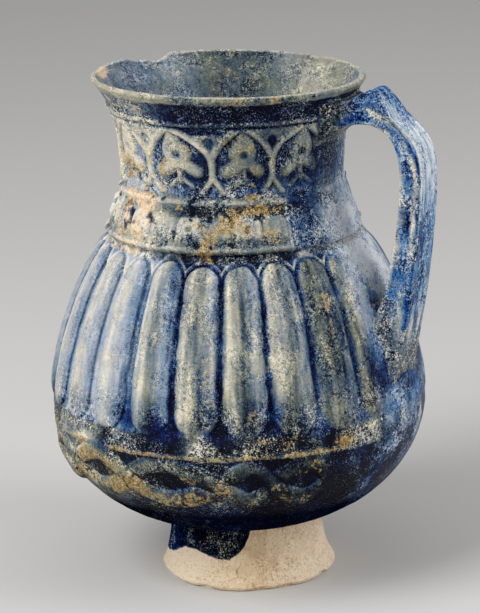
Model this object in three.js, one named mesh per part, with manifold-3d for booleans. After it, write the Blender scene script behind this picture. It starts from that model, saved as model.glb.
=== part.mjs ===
// A press-moulded fritware pitcher: pedestal foot, bowl, fluted body, collar, arcaded neck, flared
// rim and a strap handle with a thumb rest. The sections are luted together with beds of slip.
// Millimetres, +Z up, the handle along +X.

import * as THREE from "three";
import { mergeVertices } from "three/addons/utils/BufferGeometryUtils.js";
import Module from "manifold-3d";

const wasm = await Module();
wasm.setup();

// Driving dimensions: foot
const FOOT_HEIGHT = 21.2;
const FOOT_RADIUS = 31;
const FOOT_WAIST_RADIUS = 26.5;
const FOOT_FLARE_HEIGHT = 8;
const FOOT_BEVEL = 1.6;
const FOOT_WALL = 5.5;
// The foot was set on by hand, off the axis towards the handle
const FOOT_SHIFT = 2.5;
const SEAT_MARGIN = 1;

// Driving dimensions: bowl and fluted body
const BELLY_RADIUS = 66;
const BOWL_DEPTH = 44;
// Radius at which the arc of the bowl would lie flat
const BOWL_ARC_START = 14;
const FLOOR = 5.2;
const WALL = 4.3;
const BODY_HEIGHT = 57.6;
const BELLY_FULLNESS = 18.7;
const SHOULDER_RADIUS = 44.5;
const SHOULDER_SPREAD = 8.1;
const SHOULDER_DROP = 6.3;
const FLUTE_COUNT = 24;
const FLUTE_DEPTH = 2.2;
const FLUTE_MARGIN = 1.1;

// Driving dimensions: collar, neck and rim
const COLLAR_HEIGHT = 18.1;
// The collar's foot stands out this far over the ground of the flutes
const COLLAR_OVERHANG = 2.3;
const COLLAR_INFILL_ANGLE = 72;
const NECK_HEIGHT = 26.2;
const NECK_RADIUS = 38.6;
const NECK_WALL = 4.6;
const NECK_TOP_RADIUS = 43;
const NECK_FLARE_HEIGHT = 9;
const RIM_HEIGHT = 8;
const RIM_RADIUS = 47.5;
const RIM_CURL = 2.2;
const LIP = 2.8;

// Driving dimensions: half-round ridges and how far each stands from the end of its section
const RIDGE_WIDTH = 2.6;
const RIDGE_HEIGHT = 0.9;
const RIDGE_INSET = 1.6;
const BELLY_RIDGE_DROP = 4;

// Driving dimensions: arcade on the neck, with a plain stretch left behind the handle
const ARCH_COUNT = 10;
const ARCH_PITCH = 33;
const FIRST_ARCH_ANGLE = -24.5;
const ARCH_FOOT_RISE = 1.2;
const ARCH_SPRING_RISE = 9.4;
const ARCH_RIB_WIDTH = 3;
const ARCH_RIB_HEIGHT = 1.1;
const ARCH_SHARPNESS = 1.9;
// The arcade was smoothed away where the handle is luted on: within the first angle, up to the second
const ARCADE_BARE_ANGLE = 14;
const ARCADE_FULL_ANGLE = 20;

// Driving dimensions: two strands interlaced round the bowl, with a plain stretch under the handle.
// They part and cross once in each wave, and the band was laid a little round from the back.
const STRAND_WAVES = 13;
const STRAND_WAVE_ANGLE = 22.5;
const STRAND_TURN = 2;
const STRAND_DROP = 14.6;
const STRAND_RISE = 6.4;
const STRAND_WIDTH = 4.8;
const STRAND_HEIGHT = 1.4;

// Driving dimensions: handle
const STRAP_WIDTH = 15.6;
const STRAP_THICKNESS = 8.4;
// The strap grows stouter below, between two shares of its length
const TAIL_THICKNESS = 11.4;
const TAIL_SWELL = [0.4, 0.9];
// Corners are round at 1 and sharp towards 0
const STRAP_SQUARENESS = 0.5;
const STRAP_CHANNEL = 0.9;
const STRAP_SIDE_CHANNEL = 0.5;
const HANDLE_REACH = 69.9;
// The strap's line rises this far above the top of the neck's joint before it turns down
const HANDLE_CROWN = 4;
const HANDLE_BEND = 26;
const HANDLE_FALL = 45;
const HANDLE_TAIL_RISE = 10;
const ROOT_FLARE = 5;
const ROOT_FLARE_LENGTH = 14;
const REST_LENGTH = 16.5;
const REST_WIDTH = 12.5;
const REST_HEIGHT = 4.5;
// Share of the strap's length from the neck to the rest
const REST_PLACE = 0.168;

// Driving dimensions: slip between the sections, and the gap left by a fitted joint
const SLIP = 0.8;
const SLIP_SETBACK = 0.4;
const FIT_GAP = 0.3;

// Fineness of the round forms
const COLUMNS = 40;
const SLIP_COLUMNS = 24;
const FLUTE_COLUMNS = 6;
const STRAP_SIDES = 16;
const STRAP_STATIONS = 22;
const RIDGE_STEPS = 4;
const REST_COLUMNS = 16;
const ARCH_STEPS = 5;
const STRAND_STEPS = 5;
const PLAIN_COLUMNS = 6;

const DEGREE = Math.PI / 180;
// Cutting bodies run past what they cut by this much
const CUT_MARGIN = 5;

// Levels, stacked from the standing edge up
const seatRadius = FOOT_WAIST_RADIUS + FOOT_SHIFT + SEAT_MARGIN;
const bellySpan = BELLY_RADIUS - BOWL_ARC_START;
const seatTurn = Math.acos((seatRadius - BOWL_ARC_START) / bellySpan);
const bowlSeat = FOOT_HEIGHT + SLIP;
const bellyLevel = bowlSeat + BOWL_DEPTH * Math.sin(seatTurn);
const floorLevel = bowlSeat + FLOOR;
const bodyBase = bellyLevel + SLIP;
const shoulderTop = bodyBase + BODY_HEIGHT;
const collarBase = shoulderTop + SLIP;
const collarTop = collarBase + COLLAR_HEIGHT;
const neckBase = collarTop + SLIP;
const neckTop = neckBase + NECK_HEIGHT;
const rimBase = neckTop + SLIP;
const rimTop = rimBase + RIM_HEIGHT;

// Plan points are written as radius and level
const at = (radius, level) => new THREE.Vector2(radius, level);

// Outside of the wall, section by section, over the crests of the flutes
const bowlArc = new THREE.EllipseCurve(
  BOWL_ARC_START, bellyLevel, bellySpan, BOWL_DEPTH, -seatTurn, 0,
).getPoints(9);
const bowlOutside = ridged(bowlArc, bellyLevel - BELLY_RIDGE_DROP);
const bodyOutside = bodyCurve(0).getPoints(40);
const collarRadius = SHOULDER_RADIUS - FLUTE_DEPTH + COLLAR_OVERHANG;
const collarTaper = [at(collarRadius, collarBase), at(NECK_RADIUS, collarTop)];
const collarFoot = ridged(collarTaper, collarBase + RIDGE_INSET);
const collarOutside = ridged(collarFoot, collarTop - RIDGE_INSET);
const neckLine = neckCurve(0).getPoints(24);
const neckLevels = [neckBase, ...archLevels(), neckTop];
const neckRows = neckLevels.map((level) => at(radiusOn(neckLine, level), level));
const neckOutside = ridged(neckRows, neckTop - RIDGE_INSET);
const rimOutside = new THREE.QuadraticBezierCurve(
  at(NECK_TOP_RADIUS, rimBase),
  at(RIM_RADIUS - RIM_CURL, rimBase + RIM_HEIGHT / 2),
  at(RIM_RADIUS, rimTop - LIP / 2),
).getPoints(4);

// Inside of the wall, from the floor to the lip
const bodyWall = WALL + FLUTE_DEPTH;
const bowlInside = new THREE.EllipseCurve(
  BOWL_ARC_START, bellyLevel, bellySpan - bodyWall, bellyLevel - floorLevel, -Math.PI / 2, 0,
).getPoints(6);
const bodyInside = bodyCurve(bodyWall).getPoints(6);
const throatRadius = NECK_RADIUS - NECK_WALL;
const collarInside = [at(SHOULDER_RADIUS - bodyWall, collarBase), at(throatRadius, collarTop)];
const neckInside = neckCurve(NECK_WALL).getPoints(4);
const rimInside = new THREE.QuadraticBezierCurve(
  at(NECK_TOP_RADIUS - NECK_WALL, rimBase),
  at(RIM_RADIUS - RIM_CURL - LIP, rimBase + RIM_HEIGHT / 2),
  at(RIM_RADIUS - LIP, rimTop - LIP / 2),
).getPoints(4);

function bodyCurve(inset) {
  return new THREE.CubicBezierCurve(
    at(BELLY_RADIUS - inset, bodyBase),
    at(BELLY_RADIUS - inset, bodyBase + BELLY_FULLNESS),
    at(SHOULDER_RADIUS + SHOULDER_SPREAD - inset, shoulderTop - SHOULDER_DROP),
    at(SHOULDER_RADIUS - inset, shoulderTop),
  );
}

function neckCurve(inset) {
  return new THREE.CubicBezierCurve(
    at(NECK_RADIUS - inset, neckBase),
    at(NECK_RADIUS - inset, neckBase + NECK_HEIGHT / 2),
    at(NECK_RADIUS - inset, neckTop - NECK_FLARE_HEIGHT),
    at(NECK_TOP_RADIUS - inset, neckTop),
  );
}

// Radius of a line of plan points at a level
function radiusOn(line, level) {
  const above = Math.max(1, line.findIndex((point) => point.y >= level));
  const low = line[above - 1];
  const high = line[above];
  return low.x + ((high.x - low.x) * (level - low.y)) / (high.y - low.y);
}

// A half-round ridge set into a line of plan points at a level
function ridged(line, level) {
  const reach = RIDGE_WIDTH / 2;
  const below = line.filter((point) => point.y < level - reach);
  const above = line.filter((point) => point.y > level + reach);
  const ridge = [];
  for (let step = 0; step <= RIDGE_STEPS; step++) {
    const turn = (Math.PI * step) / RIDGE_STEPS;
    const height = level - reach * Math.cos(turn);
    ridge.push(at(radiusOn(line, height) + RIDGE_HEIGHT * Math.sin(turn), height));
  }
  return [...below, ...ridge, ...above];
}

// A profile turned about the vertical axis, its first column facing the handle
function turned(profile, columns = COLUMNS) {
  const geometry = new THREE.LatheGeometry(profile, columns, Math.PI / 2);
  return geometry.rotateX(Math.PI / 2);
}

// A ring of wall between its outside and inside lines, both given upwards
function ring(outside, inside, columns = COLUMNS) {
  return turned([...outside, ...inside.toReversed(), outside[0]], columns);
}

// A flat bed of slip on a joint
function slipRing(inner, outer, level) {
  const top = level + SLIP;
  return ring([at(outer, level), at(outer, top)], [at(inner, level), at(inner, top)], SLIP_COLUMNS);
}

// A closed solid for cutting and joining, from a geometry
function solid(geometry) {
  const bare = geometry.clone();
  bare.deleteAttribute("normal");
  bare.deleteAttribute("uv");
  const welded = mergeVertices(bare);
  const corners = welded.index.array;
  const faces = [];
  for (let first = 0; first < corners.length; first += 3) {
    const [a, b, c] = corners.slice(first, first + 3);
    if (a !== b && b !== c && c !== a) faces.push(a, b, c);
  }
  return new wasm.Manifold(new wasm.Mesh({
    numProp: 3,
    vertProperties: welded.attributes.position.array,
    triVerts: new Uint32Array(faces),
  }));
}

// A geometry from a solid
function shapeOf(body) {
  const { vertProperties, triVerts } = body.getMesh();
  const geometry = new THREE.BufferGeometry();
  geometry.setAttribute("position", new THREE.BufferAttribute(vertProperties, 3));
  geometry.setIndex(new THREE.BufferAttribute(triVerts, 1));
  geometry.computeVertexNormals();
  return geometry;
}

// A skin over rings of points, each turning about the way forward, with both ends closed
function lofted(rings) {
  const sides = rings[0].length;
  const middle = (loop) => loop.reduce((sum, point) => sum.add(point), new THREE.Vector3())
    .divideScalar(sides);
  const points = [...rings.flat(), middle(rings[0]), middle(rings.at(-1))];
  const start = rings.length * sides;
  const end = start + 1;
  const faces = [];
  for (let side = 0; side < sides; side++) {
    const next = (side + 1) % sides;
    for (let row = 0; row < rings.length - 1; row++) {
      const here = row * sides;
      const ahead = here + sides;
      faces.push(here + side, here + next, ahead + next);
      faces.push(here + side, ahead + next, ahead + side);
    }
    const last = (rings.length - 1) * sides;
    faces.push(start, next, side);
    faces.push(end, last + side, last + next);
  }
  const geometry = new THREE.BufferGeometry().setFromPoints(points);
  geometry.setIndex(faces);
  geometry.computeVertexNormals();
  return geometry;
}

// A solid round the axis from columns of points, each given upwards
function woven(columns) {
  return lofted(columns[0].map((_, row) => columns.map((column) => column[row])));
}

// The foot flares out to a bevelled standing edge and is hollow below
function footRing() {
  const flare = new THREE.QuadraticBezierCurve(
    at(FOOT_RADIUS, FOOT_BEVEL),
    at(FOOT_WAIST_RADIUS, FOOT_FLARE_HEIGHT),
    at(FOOT_WAIST_RADIUS, FOOT_HEIGHT),
  ).getPoints(5);
  const outside = [at(FOOT_RADIUS - FOOT_BEVEL / 2, 0), ...flare];
  const inside = [at(FOOT_RADIUS - FOOT_WALL, 0), at(FOOT_WAIST_RADIUS - FOOT_WALL, FOOT_HEIGHT)];
  return ring(outside, inside);
}

// The space inside a section, run past its top and, for an open ring, past its bottom
function hollow(inside, openBelow) {
  const bottom = at(inside[0].x, inside[0].y - (openBelow ? CUT_MARGIN : 0));
  const top = at(inside.at(-1).x, inside.at(-1).y + CUT_MARGIN);
  return solid(turned([at(0, bottom.y), bottom, ...inside, top, at(0, top.y)]));
}

// A point on the wall at an angle, lifted off a line of plan points
function wallPoint(line, angle, level, lift) {
  const radius = radiusOn(line, level) + lift;
  return new THREE.Vector3(radius * Math.cos(angle), radius * Math.sin(angle), level);
}

// Height of a rib across its width, at a distance from its crest
function ribHeight(distance, width, height) {
  return height * Math.max(0, 1 - (2 * distance) / width);
}

// Angles round the bowl: the waves of the interlace, then the plain stretch under the handle
function bowlAngles() {
  const wave = STRAND_WAVE_ANGLE * DEGREE;
  const span = STRAND_WAVES * wave;
  const start = Math.PI + STRAND_TURN * DEGREE - span / 2;
  const angles = [];
  for (let step = 0; step <= STRAND_WAVES * STRAND_STEPS; step++) {
    angles.push({ angle: start + (step * wave) / STRAND_STEPS, waves: step / STRAND_STEPS });
  }
  const plain = 2 * Math.PI - span;
  for (let step = 1; step < PLAIN_COLUMNS; step++) {
    angles.push({ angle: start + span + (step * plain) / PLAIN_COLUMNS, waves: null });
  }
  return angles;
}

// Two strands swing apart and cross again all along the band, so the rows follow their lines
function lowerBowl() {
  const middle = bellyLevel - STRAND_DROP;
  const reach = STRAND_RISE + STRAND_WIDTH / 2;
  const crossing = STRAND_WIDTH / 8;
  const below = bowlOutside.filter((point) => point.y < middle - reach);
  const above = bowlOutside.filter((point) => point.y > middle + reach);
  const columns = bowlAngles().map(({ angle, waves }) => {
    const swing = waves === null ? 0 : STRAND_RISE * Math.abs(Math.sin(Math.PI * waves));
    const crest = Math.max(swing, 2 * crossing);
    const inner = Math.max(swing - STRAND_WIDTH / 2, crossing);
    const outer = Math.max(swing, crossing) + STRAND_WIDTH / 2;
    const rows = [-outer, -crest, -inner, inner, crest, outer].map((offset) => {
      const fromCrest = Math.abs(Math.abs(offset) - swing);
      const lift = waves === null ? 0 : ribHeight(fromCrest, STRAND_WIDTH, STRAND_HEIGHT);
      return wallPoint(bowlArc, angle, middle + offset, lift);
    });
    const plain = (point) => wallPoint(bowlOutside, angle, point.y, 0);
    return [...below.map(plain), ...rows, ...above.map(plain)];
  });
  return shapeOf(solid(woven(columns)).subtract(hollow([at(0, floorLevel), ...bowlInside], false)));
}

// How far a flute has swelled, from 0 in the groove to 1 on the crest, with round ends
function fluteSwell(angle, level) {
  const pitch = (2 * Math.PI) / FLUTE_COUNT;
  const turns = angle / pitch;
  const across = 2 * (turns - Math.round(turns));
  const halfWidth = (radius) => (radius * pitch) / 2;
  const footRound = halfWidth(BELLY_RADIUS);
  const topRound = halfWidth(SHOULDER_RADIUS);
  const low = bodyBase + FLUTE_MARGIN + footRound;
  const high = shoulderTop - FLUTE_MARGIN - topRound;
  const along = Math.max((low - level) / footRound, (level - high) / topRound, 0);
  return Math.sqrt(Math.max(0, 1 - across * across - along * along));
}

// The flutes swell from a ground that lies a flute's depth inside the crests
function flutedBody() {
  const pitch = (2 * Math.PI) / FLUTE_COUNT;
  const low = bodyBase + FLUTE_MARGIN;
  const high = shoulderTop - FLUTE_MARGIN;
  const footRound = (BELLY_RADIUS * pitch) / 2;
  const topRound = (SHOULDER_RADIUS * pitch) / 2;
  const roundSteps = [0, 0.2, 1];
  const levels = [
    bodyBase,
    ...roundSteps.map((share) => low + share * footRound),
    ...roundSteps.toReversed().map((share) => high - share * topRound),
    shoulderTop,
  ];
  const straightFrom = levels[roundSteps.length];
  const straightTo = levels[roundSteps.length + 1];
  const between = [0.25, 0.5, 0.75].map((share) => straightFrom + share * (straightTo - straightFrom));
  levels.splice(roundSteps.length + 1, 0, ...between);
  const crest = levels.map((level) => at(radiusOn(bodyOutside, level), level));
  const shell = turned([at(0, bodyBase), ...crest, at(0, shoulderTop)], FLUTE_COUNT * FLUTE_COLUMNS);
  const points = shell.attributes.position;
  const point = new THREE.Vector3();
  for (let index = 0; index < points.count; index++) {
    point.fromBufferAttribute(points, index);
    const radius = Math.hypot(point.x, point.y);
    if (radius < SHOULDER_RADIUS / 2) continue;
    const swell = fluteSwell(Math.atan2(point.y, point.x), point.z);
    const share = (radius - FLUTE_DEPTH * (1 - swell)) / radius;
    points.setXY(index, point.x * share, point.y * share);
  }
  return shapeOf(solid(shell).subtract(hollow(bodyInside, true)));
}

// The collar is a strip bent round, closed under the handle by a plain infill between two slip seams
function collarPieces() {
  const whole = solid(ring(collarOutside, collarInside));
  const slab = (thickness, side) => {
    const reach = collarRadius + CUT_MARGIN;
    const box = new THREE.BoxGeometry(reach, thickness, COLLAR_HEIGHT + 2 * CUT_MARGIN);
    box.translate(reach / 2, 0, (collarBase + collarTop) / 2);
    return solid(box.rotateZ((side * COLLAR_INFILL_ANGLE * DEGREE) / 2));
  };
  const opened = [-1, 1].reduce((rest, side) => rest.subtract(slab(SLIP + 2 * FIT_GAP, side)), whole);
  const parts = opened.decompose().sort((one, other) => other.volume() - one.volume());
  return {
    band: shapeOf(parts[0]),
    infill: shapeOf(parts[1]),
    frontSlip: shapeOf(whole.intersect(slab(SLIP, -1))),
    backSlip: shapeOf(whole.intersect(slab(SLIP, 1))),
  };
}

// Levels up an arch, from its foot over its springing to just short of its point
function archLevels() {
  const { foot, spring, point } = archHeights();
  const levels = [foot];
  for (let step = 0; step < ARCH_STEPS; step++) {
    levels.push(spring + (point - spring) * Math.sqrt(step / ARCH_STEPS));
  }
  return levels;
}

// The arches stand on the neck's lower edge and point at the ridge above
function archHeights() {
  const foot = neckBase + ARCH_FOOT_RISE;
  return { foot, spring: foot + ARCH_SPRING_RISE, point: neckTop - RIDGE_INSET - RIDGE_WIDTH / 2 };
}

// How far the rib of an arch stands from the arch's middle, as a share of half the pitch
function archSpread(level) {
  const { spring, point } = archHeights();
  const share = THREE.MathUtils.clamp((level - spring) / (point - spring), 0, 1);
  return 1 - share ** ARCH_SHARPNESS;
}

// How much of the arcade is left at an angle from the handle
function arcadeShare(angle) {
  const fromHandle = Math.abs(Math.atan2(Math.sin(angle), Math.cos(angle))) / DEGREE;
  return THREE.MathUtils.smoothstep(fromHandle, ARCADE_BARE_ANGLE, ARCADE_FULL_ANGLE);
}

// Pointed arches side by side share their uprights, so the columns follow the ribs up to each point
function arcadedNeck() {
  const halfPitch = (ARCH_PITCH / 2) * DEGREE;
  const edge = ARCH_RIB_WIDTH / 2 / (NECK_RADIUS * halfPitch);
  const levels = archLevels();
  const above = neckOutside.slice(1 + levels.length);
  const column = (centre, side, place) => {
    const angleAt = (across) => centre + side * across * halfPitch;
    const ribbed = levels.map((level) => {
      const spread = archSpread(level);
      const crest = THREE.MathUtils.clamp(spread, edge, 1 - edge);
      const inner = Math.max(crest - edge, crest / 2);
      const outer = Math.min(crest + edge, 1 - edge / 2);
      const across = [0, inner, crest, outer, 1][place];
      const distance = Math.abs(across - spread) * NECK_RADIUS * halfPitch;
      const height = ARCH_RIB_HEIGHT * arcadeShare(angleAt(across));
      return wallPoint(neckOutside, angleAt(across), level, ribHeight(distance, ARCH_RIB_WIDTH, height));
    });
    const flat = (level, across) => wallPoint(neckOutside, angleAt(across), level, 0);
    const even = place / 4;
    return [flat(neckBase, even), ...ribbed, ...above.map((row) => flat(row.y, even))];
  };
  const columns = [];
  for (let arch = ARCH_COUNT - 1; arch >= 0; arch--) {
    const centre = (FIRST_ARCH_ANGLE - arch * ARCH_PITCH) * DEGREE;
    columns.push(...[4, 3, 2, 1, 0].map((place) => column(centre, -1, place)));
    columns.push(...[1, 2, 3].map((place) => column(centre, 1, place)));
  }
  const last = FIRST_ARCH_ANGLE * DEGREE + halfPitch;
  const plain = 2 * Math.PI - 2 * ARCH_COUNT * halfPitch;
  columns.push(column(FIRST_ARCH_ANGLE * DEGREE, 1, 4));
  for (const share of [1 / 3, 2 / 3]) {
    columns.push(neckOutside.map((row) => wallPoint(neckOutside, last + share * plain, row.y, 0)));
  }
  return shapeOf(solid(woven(columns)).subtract(hollow(neckInside, true)));
}

// The lip is a half-round from the outside line over to the inside line
function rimRing() {
  const lip = new THREE.EllipseCurve(
    RIM_RADIUS - LIP / 2, rimTop - LIP / 2, LIP / 2, LIP / 2, 0, Math.PI,
  ).getPoints(4).slice(1, -1);
  return ring([...rimOutside, ...lip], rimInside);
}

// The whole outside, grown by a distance, as one body for fitting the handle to
function envelope(growth) {
  const lines = [bowlOutside, bodyOutside, collarOutside, neckOutside, rimOutside];
  const skin = lines.flat().map((point) => at(point.x + growth, point.y));
  return solid(turned([at(0, bowlSeat), ...skin, at(0, rimTop)]));
}

// The strap's middle line rises from the neck, turns over and falls to the belly
function strapPath() {
  const crown = neckTop + HANDLE_CROWN;
  const bend = crown - HANDLE_BEND;
  const tail = bodyBase + HANDLE_TAIL_RISE;
  const tailRadius = radiusOn(bodyOutside, tail) - STRAP_THICKNESS * 0.8;
  const to = (radius, level) => new THREE.Vector3(radius, 0, level);
  const path = new THREE.CurvePath();
  path.add(new THREE.CubicBezierCurve3(
    to(NECK_RADIUS - NECK_WALL / 2, crown - STRAP_THICKNESS * 1.25),
    to(NECK_RADIUS + STRAP_THICKNESS, crown - STRAP_THICKNESS / 4),
    to(HANDLE_REACH, crown),
    to(HANDLE_REACH, bend),
  ));
  path.add(new THREE.CubicBezierCurve3(
    to(HANDLE_REACH, bend),
    to(HANDLE_REACH, bend - HANDLE_FALL / 2.5),
    to(tailRadius + STRAP_THICKNESS * 0.75, tail + HANDLE_FALL * 0.6),
    to(tailRadius, tail),
  ));
  return path;
}

// Middle, forward way and outward way of the strap at a share of its length
function strapFrame(share) {
  const path = strapPath();
  const middle = path.getPointAt(share);
  const forward = path.getTangentAt(share);
  const sideways = new THREE.Vector3(0, 1, 0);
  return { middle, sideways, outward: forward.clone().cross(sideways) };
}

// A squared strap with a shallow channel along its back, stouter below and wider where it joins the wall
function strap(growth) {
  const length = strapPath().getLength();
  const rings = [];
  for (let station = 0; station <= STRAP_STATIONS; station++) {
    const share = station / STRAP_STATIONS;
    const { middle, sideways, outward } = strapFrame(share);
    const fromEnd = Math.min(share, 1 - share) * length;
    const flare = ROOT_FLARE * Math.max(0, 1 - fromEnd / ROOT_FLARE_LENGTH) ** 2;
    const lower = THREE.MathUtils.smoothstep(share, ...TAIL_SWELL);
    const thickness = THREE.MathUtils.lerp(STRAP_THICKNESS, TAIL_THICKNESS, lower);
    const loop = [];
    for (let side = 0; side < STRAP_SIDES; side++) {
      const turn = (2 * Math.PI * side) / STRAP_SIDES;
      const squared = (value) => Math.sign(value) * Math.abs(value) ** STRAP_SQUARENESS;
      const across = squared(Math.cos(turn));
      const up = squared(Math.sin(turn));
      const backChannel = Math.max(0, up) * STRAP_CHANNEL * (1 - across * across);
      const sideChannel = across * STRAP_SIDE_CHANNEL * (1 - up * up);
      const width = (STRAP_WIDTH + flare) / 2 + growth;
      const height = thickness / 2 + growth;
      loop.push(middle.clone()
        .addScaledVector(sideways, across * width - sideChannel)
        .addScaledVector(outward, up * height - backChannel));
    }
    rings.push(loop);
  }
  return solid(lofted(rings));
}

// The strap's ends are cut to the wall, and a saddle of slip lies in the gap at each end
function handlePieces() {
  const slipFoot = FIT_GAP;
  const slipTop = slipFoot + SLIP;
  const saddles = strap(-SLIP_SETBACK)
    .intersect(envelope(slipTop))
    .subtract(envelope(slipFoot))
    .decompose()
    .sort((one, other) => other.boundingBox().max[2] - one.boundingBox().max[2]);
  return {
    strap: shapeOf(strap(0).subtract(envelope(slipTop + FIT_GAP))),
    upperSlip: shapeOf(saddles[0]),
    lowerSlip: shapeOf(saddles.at(-1)),
  };
}

// A pointed rest for the thumb, seated on the crown of the strap
function thumbRest() {
  const seat = strapFrame(REST_PLACE);
  const bud = new THREE.SplineCurve([
    at(1, 0), at(0.86, 0.28), at(0.5, 0.62), at(0.22, 0.92), at(0, 1),
  ]).getPoints(5);
  const sunk = STRAP_THICKNESS / 2;
  const profile = [at(0, -1), at(1, -1), ...bud];
  const geometry = turned(profile, REST_COLUMNS);
  const points = geometry.attributes.position;
  const point = new THREE.Vector3();
  for (let index = 0; index < points.count; index++) {
    point.fromBufferAttribute(points, index);
    const height = point.z < 0 ? point.z * sunk : point.z * REST_HEIGHT;
    points.setXYZ(index, (point.x * REST_LENGTH) / 2, (point.y * REST_WIDTH) / 2, height);
  }
  const along = seat.sideways.clone().cross(seat.outward);
  const place = new THREE.Matrix4().makeBasis(along, seat.sideways, seat.outward);
  const foot = seat.middle.clone().addScaledVector(seat.outward, STRAP_THICKNESS / 2);
  geometry.applyMatrix4(place.setPosition(foot));
  return shapeOf(solid(geometry).subtract(strap(FIT_GAP)));
}

// Finishes
const GLAZE = { color: 0x3a5a84, roughness: 0.35, metalness: 0 };
const PALE_GLAZE = { color: 0x7f95a8, roughness: 0.4, metalness: 0 };
const BISQUE = { color: 0xcdb49c, roughness: 0.85, metalness: 0 };
const DRY_SLIP = { color: 0xb7a892, roughness: 0.9, metalness: 0 };

function piece(name, geometry, finish) {
  const mesh = new THREE.Mesh(geometry, new THREE.MeshStandardMaterial(finish));
  mesh.name = name;
  return mesh;
}

const pitcher = new THREE.Group();

const foot = new THREE.Group();
foot.position.x = FOOT_SHIFT;
foot.add(piece("foot_ring", footRing(), BISQUE));
foot.add(piece(
  "foot_slip",
  slipRing(FOOT_WAIST_RADIUS - FOOT_WALL + SLIP_SETBACK, FOOT_WAIST_RADIUS - SLIP_SETBACK, FOOT_HEIGHT),
  DRY_SLIP,
));
pitcher.add(foot);

const groundAtBelly = BELLY_RADIUS - FLUTE_DEPTH - SLIP_SETBACK;
const groundAtShoulder = SHOULDER_RADIUS - FLUTE_DEPTH - SLIP_SETBACK;
pitcher.add(piece("lower_bowl", lowerBowl(), GLAZE));
pitcher.add(piece("belly_slip", slipRing(BELLY_RADIUS - bodyWall, groundAtBelly, bellyLevel), DRY_SLIP));
pitcher.add(piece("fluted_body", flutedBody(), PALE_GLAZE));
pitcher.add(piece(
  "shoulder_slip",
  slipRing(SHOULDER_RADIUS - bodyWall, groundAtShoulder, shoulderTop),
  DRY_SLIP,
));

const collar = collarPieces();
pitcher.add(piece("collar_band", collar.band, PALE_GLAZE));
pitcher.add(piece("collar_infill", collar.infill, GLAZE));
pitcher.add(piece("collar_slip_front", collar.frontSlip, DRY_SLIP));
pitcher.add(piece("collar_slip_back", collar.backSlip, DRY_SLIP));

pitcher.add(piece("neck_slip", slipRing(throatRadius, NECK_RADIUS - SLIP_SETBACK, collarTop), DRY_SLIP));
pitcher.add(piece("neck", arcadedNeck(), GLAZE));
pitcher.add(piece(
  "rim_slip",
  slipRing(NECK_TOP_RADIUS - NECK_WALL, NECK_TOP_RADIUS - SLIP_SETBACK, neckTop),
  DRY_SLIP,
));
pitcher.add(piece("rim", rimRing(), PALE_GLAZE));

const handle = handlePieces();
pitcher.add(piece("handle", handle.strap, GLAZE));
pitcher.add(piece("handle_upper_slip", handle.upperSlip, DRY_SLIP));
pitcher.add(piece("handle_lower_slip", handle.lowerSlip, DRY_SLIP));
pitcher.add(piece("thumb_rest", thumbRest(), GLAZE));

// The origin stands on the floor at the middle of the footprint
const footprint = new THREE.Box3().setFromObject(pitcher).getCenter(new THREE.Vector3());
pitcher.position.set(-footprint.x, -footprint.y, 0);

const part = new THREE.Group();
part.add(pitcher);
export default part;
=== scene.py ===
# The looks of a moulded, cobalt-glazed pitcher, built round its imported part.
# Lengths are in millimetres and angles in degrees here, and turn into metres where a mesh is made.
# Angles run anticlockwise from the handle, seen from above, and the camera stands at the angle -62.

import itertools
import math
from types import SimpleNamespace

import bpy
import numpy as np
from mathutils import Matrix, Vector


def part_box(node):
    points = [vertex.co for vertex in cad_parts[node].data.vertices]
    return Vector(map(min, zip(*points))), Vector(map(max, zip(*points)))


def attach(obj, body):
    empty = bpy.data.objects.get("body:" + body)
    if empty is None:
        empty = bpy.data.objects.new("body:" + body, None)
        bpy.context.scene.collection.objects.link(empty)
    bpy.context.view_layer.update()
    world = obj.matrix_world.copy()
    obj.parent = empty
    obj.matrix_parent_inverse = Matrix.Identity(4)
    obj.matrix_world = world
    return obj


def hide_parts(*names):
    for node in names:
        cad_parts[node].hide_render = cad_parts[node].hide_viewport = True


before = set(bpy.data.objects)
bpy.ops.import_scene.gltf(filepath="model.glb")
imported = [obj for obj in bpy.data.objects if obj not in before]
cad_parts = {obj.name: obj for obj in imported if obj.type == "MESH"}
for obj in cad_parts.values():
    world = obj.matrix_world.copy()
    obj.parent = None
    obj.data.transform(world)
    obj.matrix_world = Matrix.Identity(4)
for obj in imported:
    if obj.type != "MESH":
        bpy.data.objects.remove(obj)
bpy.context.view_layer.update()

MM = 0.001


# Levels and places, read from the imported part
def levels_of(node):
    return [corner.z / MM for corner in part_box(node)]


def middle_of(node):
    low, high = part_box(node)
    return (low + high) / (2 * MM)


AXIS = middle_of("belly_slip")
FOOT_AXIS = middle_of("foot_slip")
FOOT_TOP = levels_of("foot_ring")[1]
BOWL_BASE, BELLY = levels_of("lower_bowl")
BODY_BASE, SHOULDER = levels_of("fluted_body")
COLLAR_BASE, COLLAR_TOP = levels_of("collar_band")
NECK_BASE, NECK_TOP = levels_of("neck")
RIM_BASE, RIM_TOP = levels_of("rim")

# The glaze closes over the slip joints, so the pieces meet in the middle of each
FOOT_JOINT = (FOOT_TOP + BOWL_BASE) / 2
BELLY_JOINT = (BELLY + BODY_BASE) / 2
SHOULDER_JOINT = (SHOULDER + COLLAR_BASE) / 2
COLLAR_JOINT = (COLLAR_TOP + NECK_BASE) / 2
RIM_JOINT = (NECK_TOP + RIM_BASE) / 2

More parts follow.
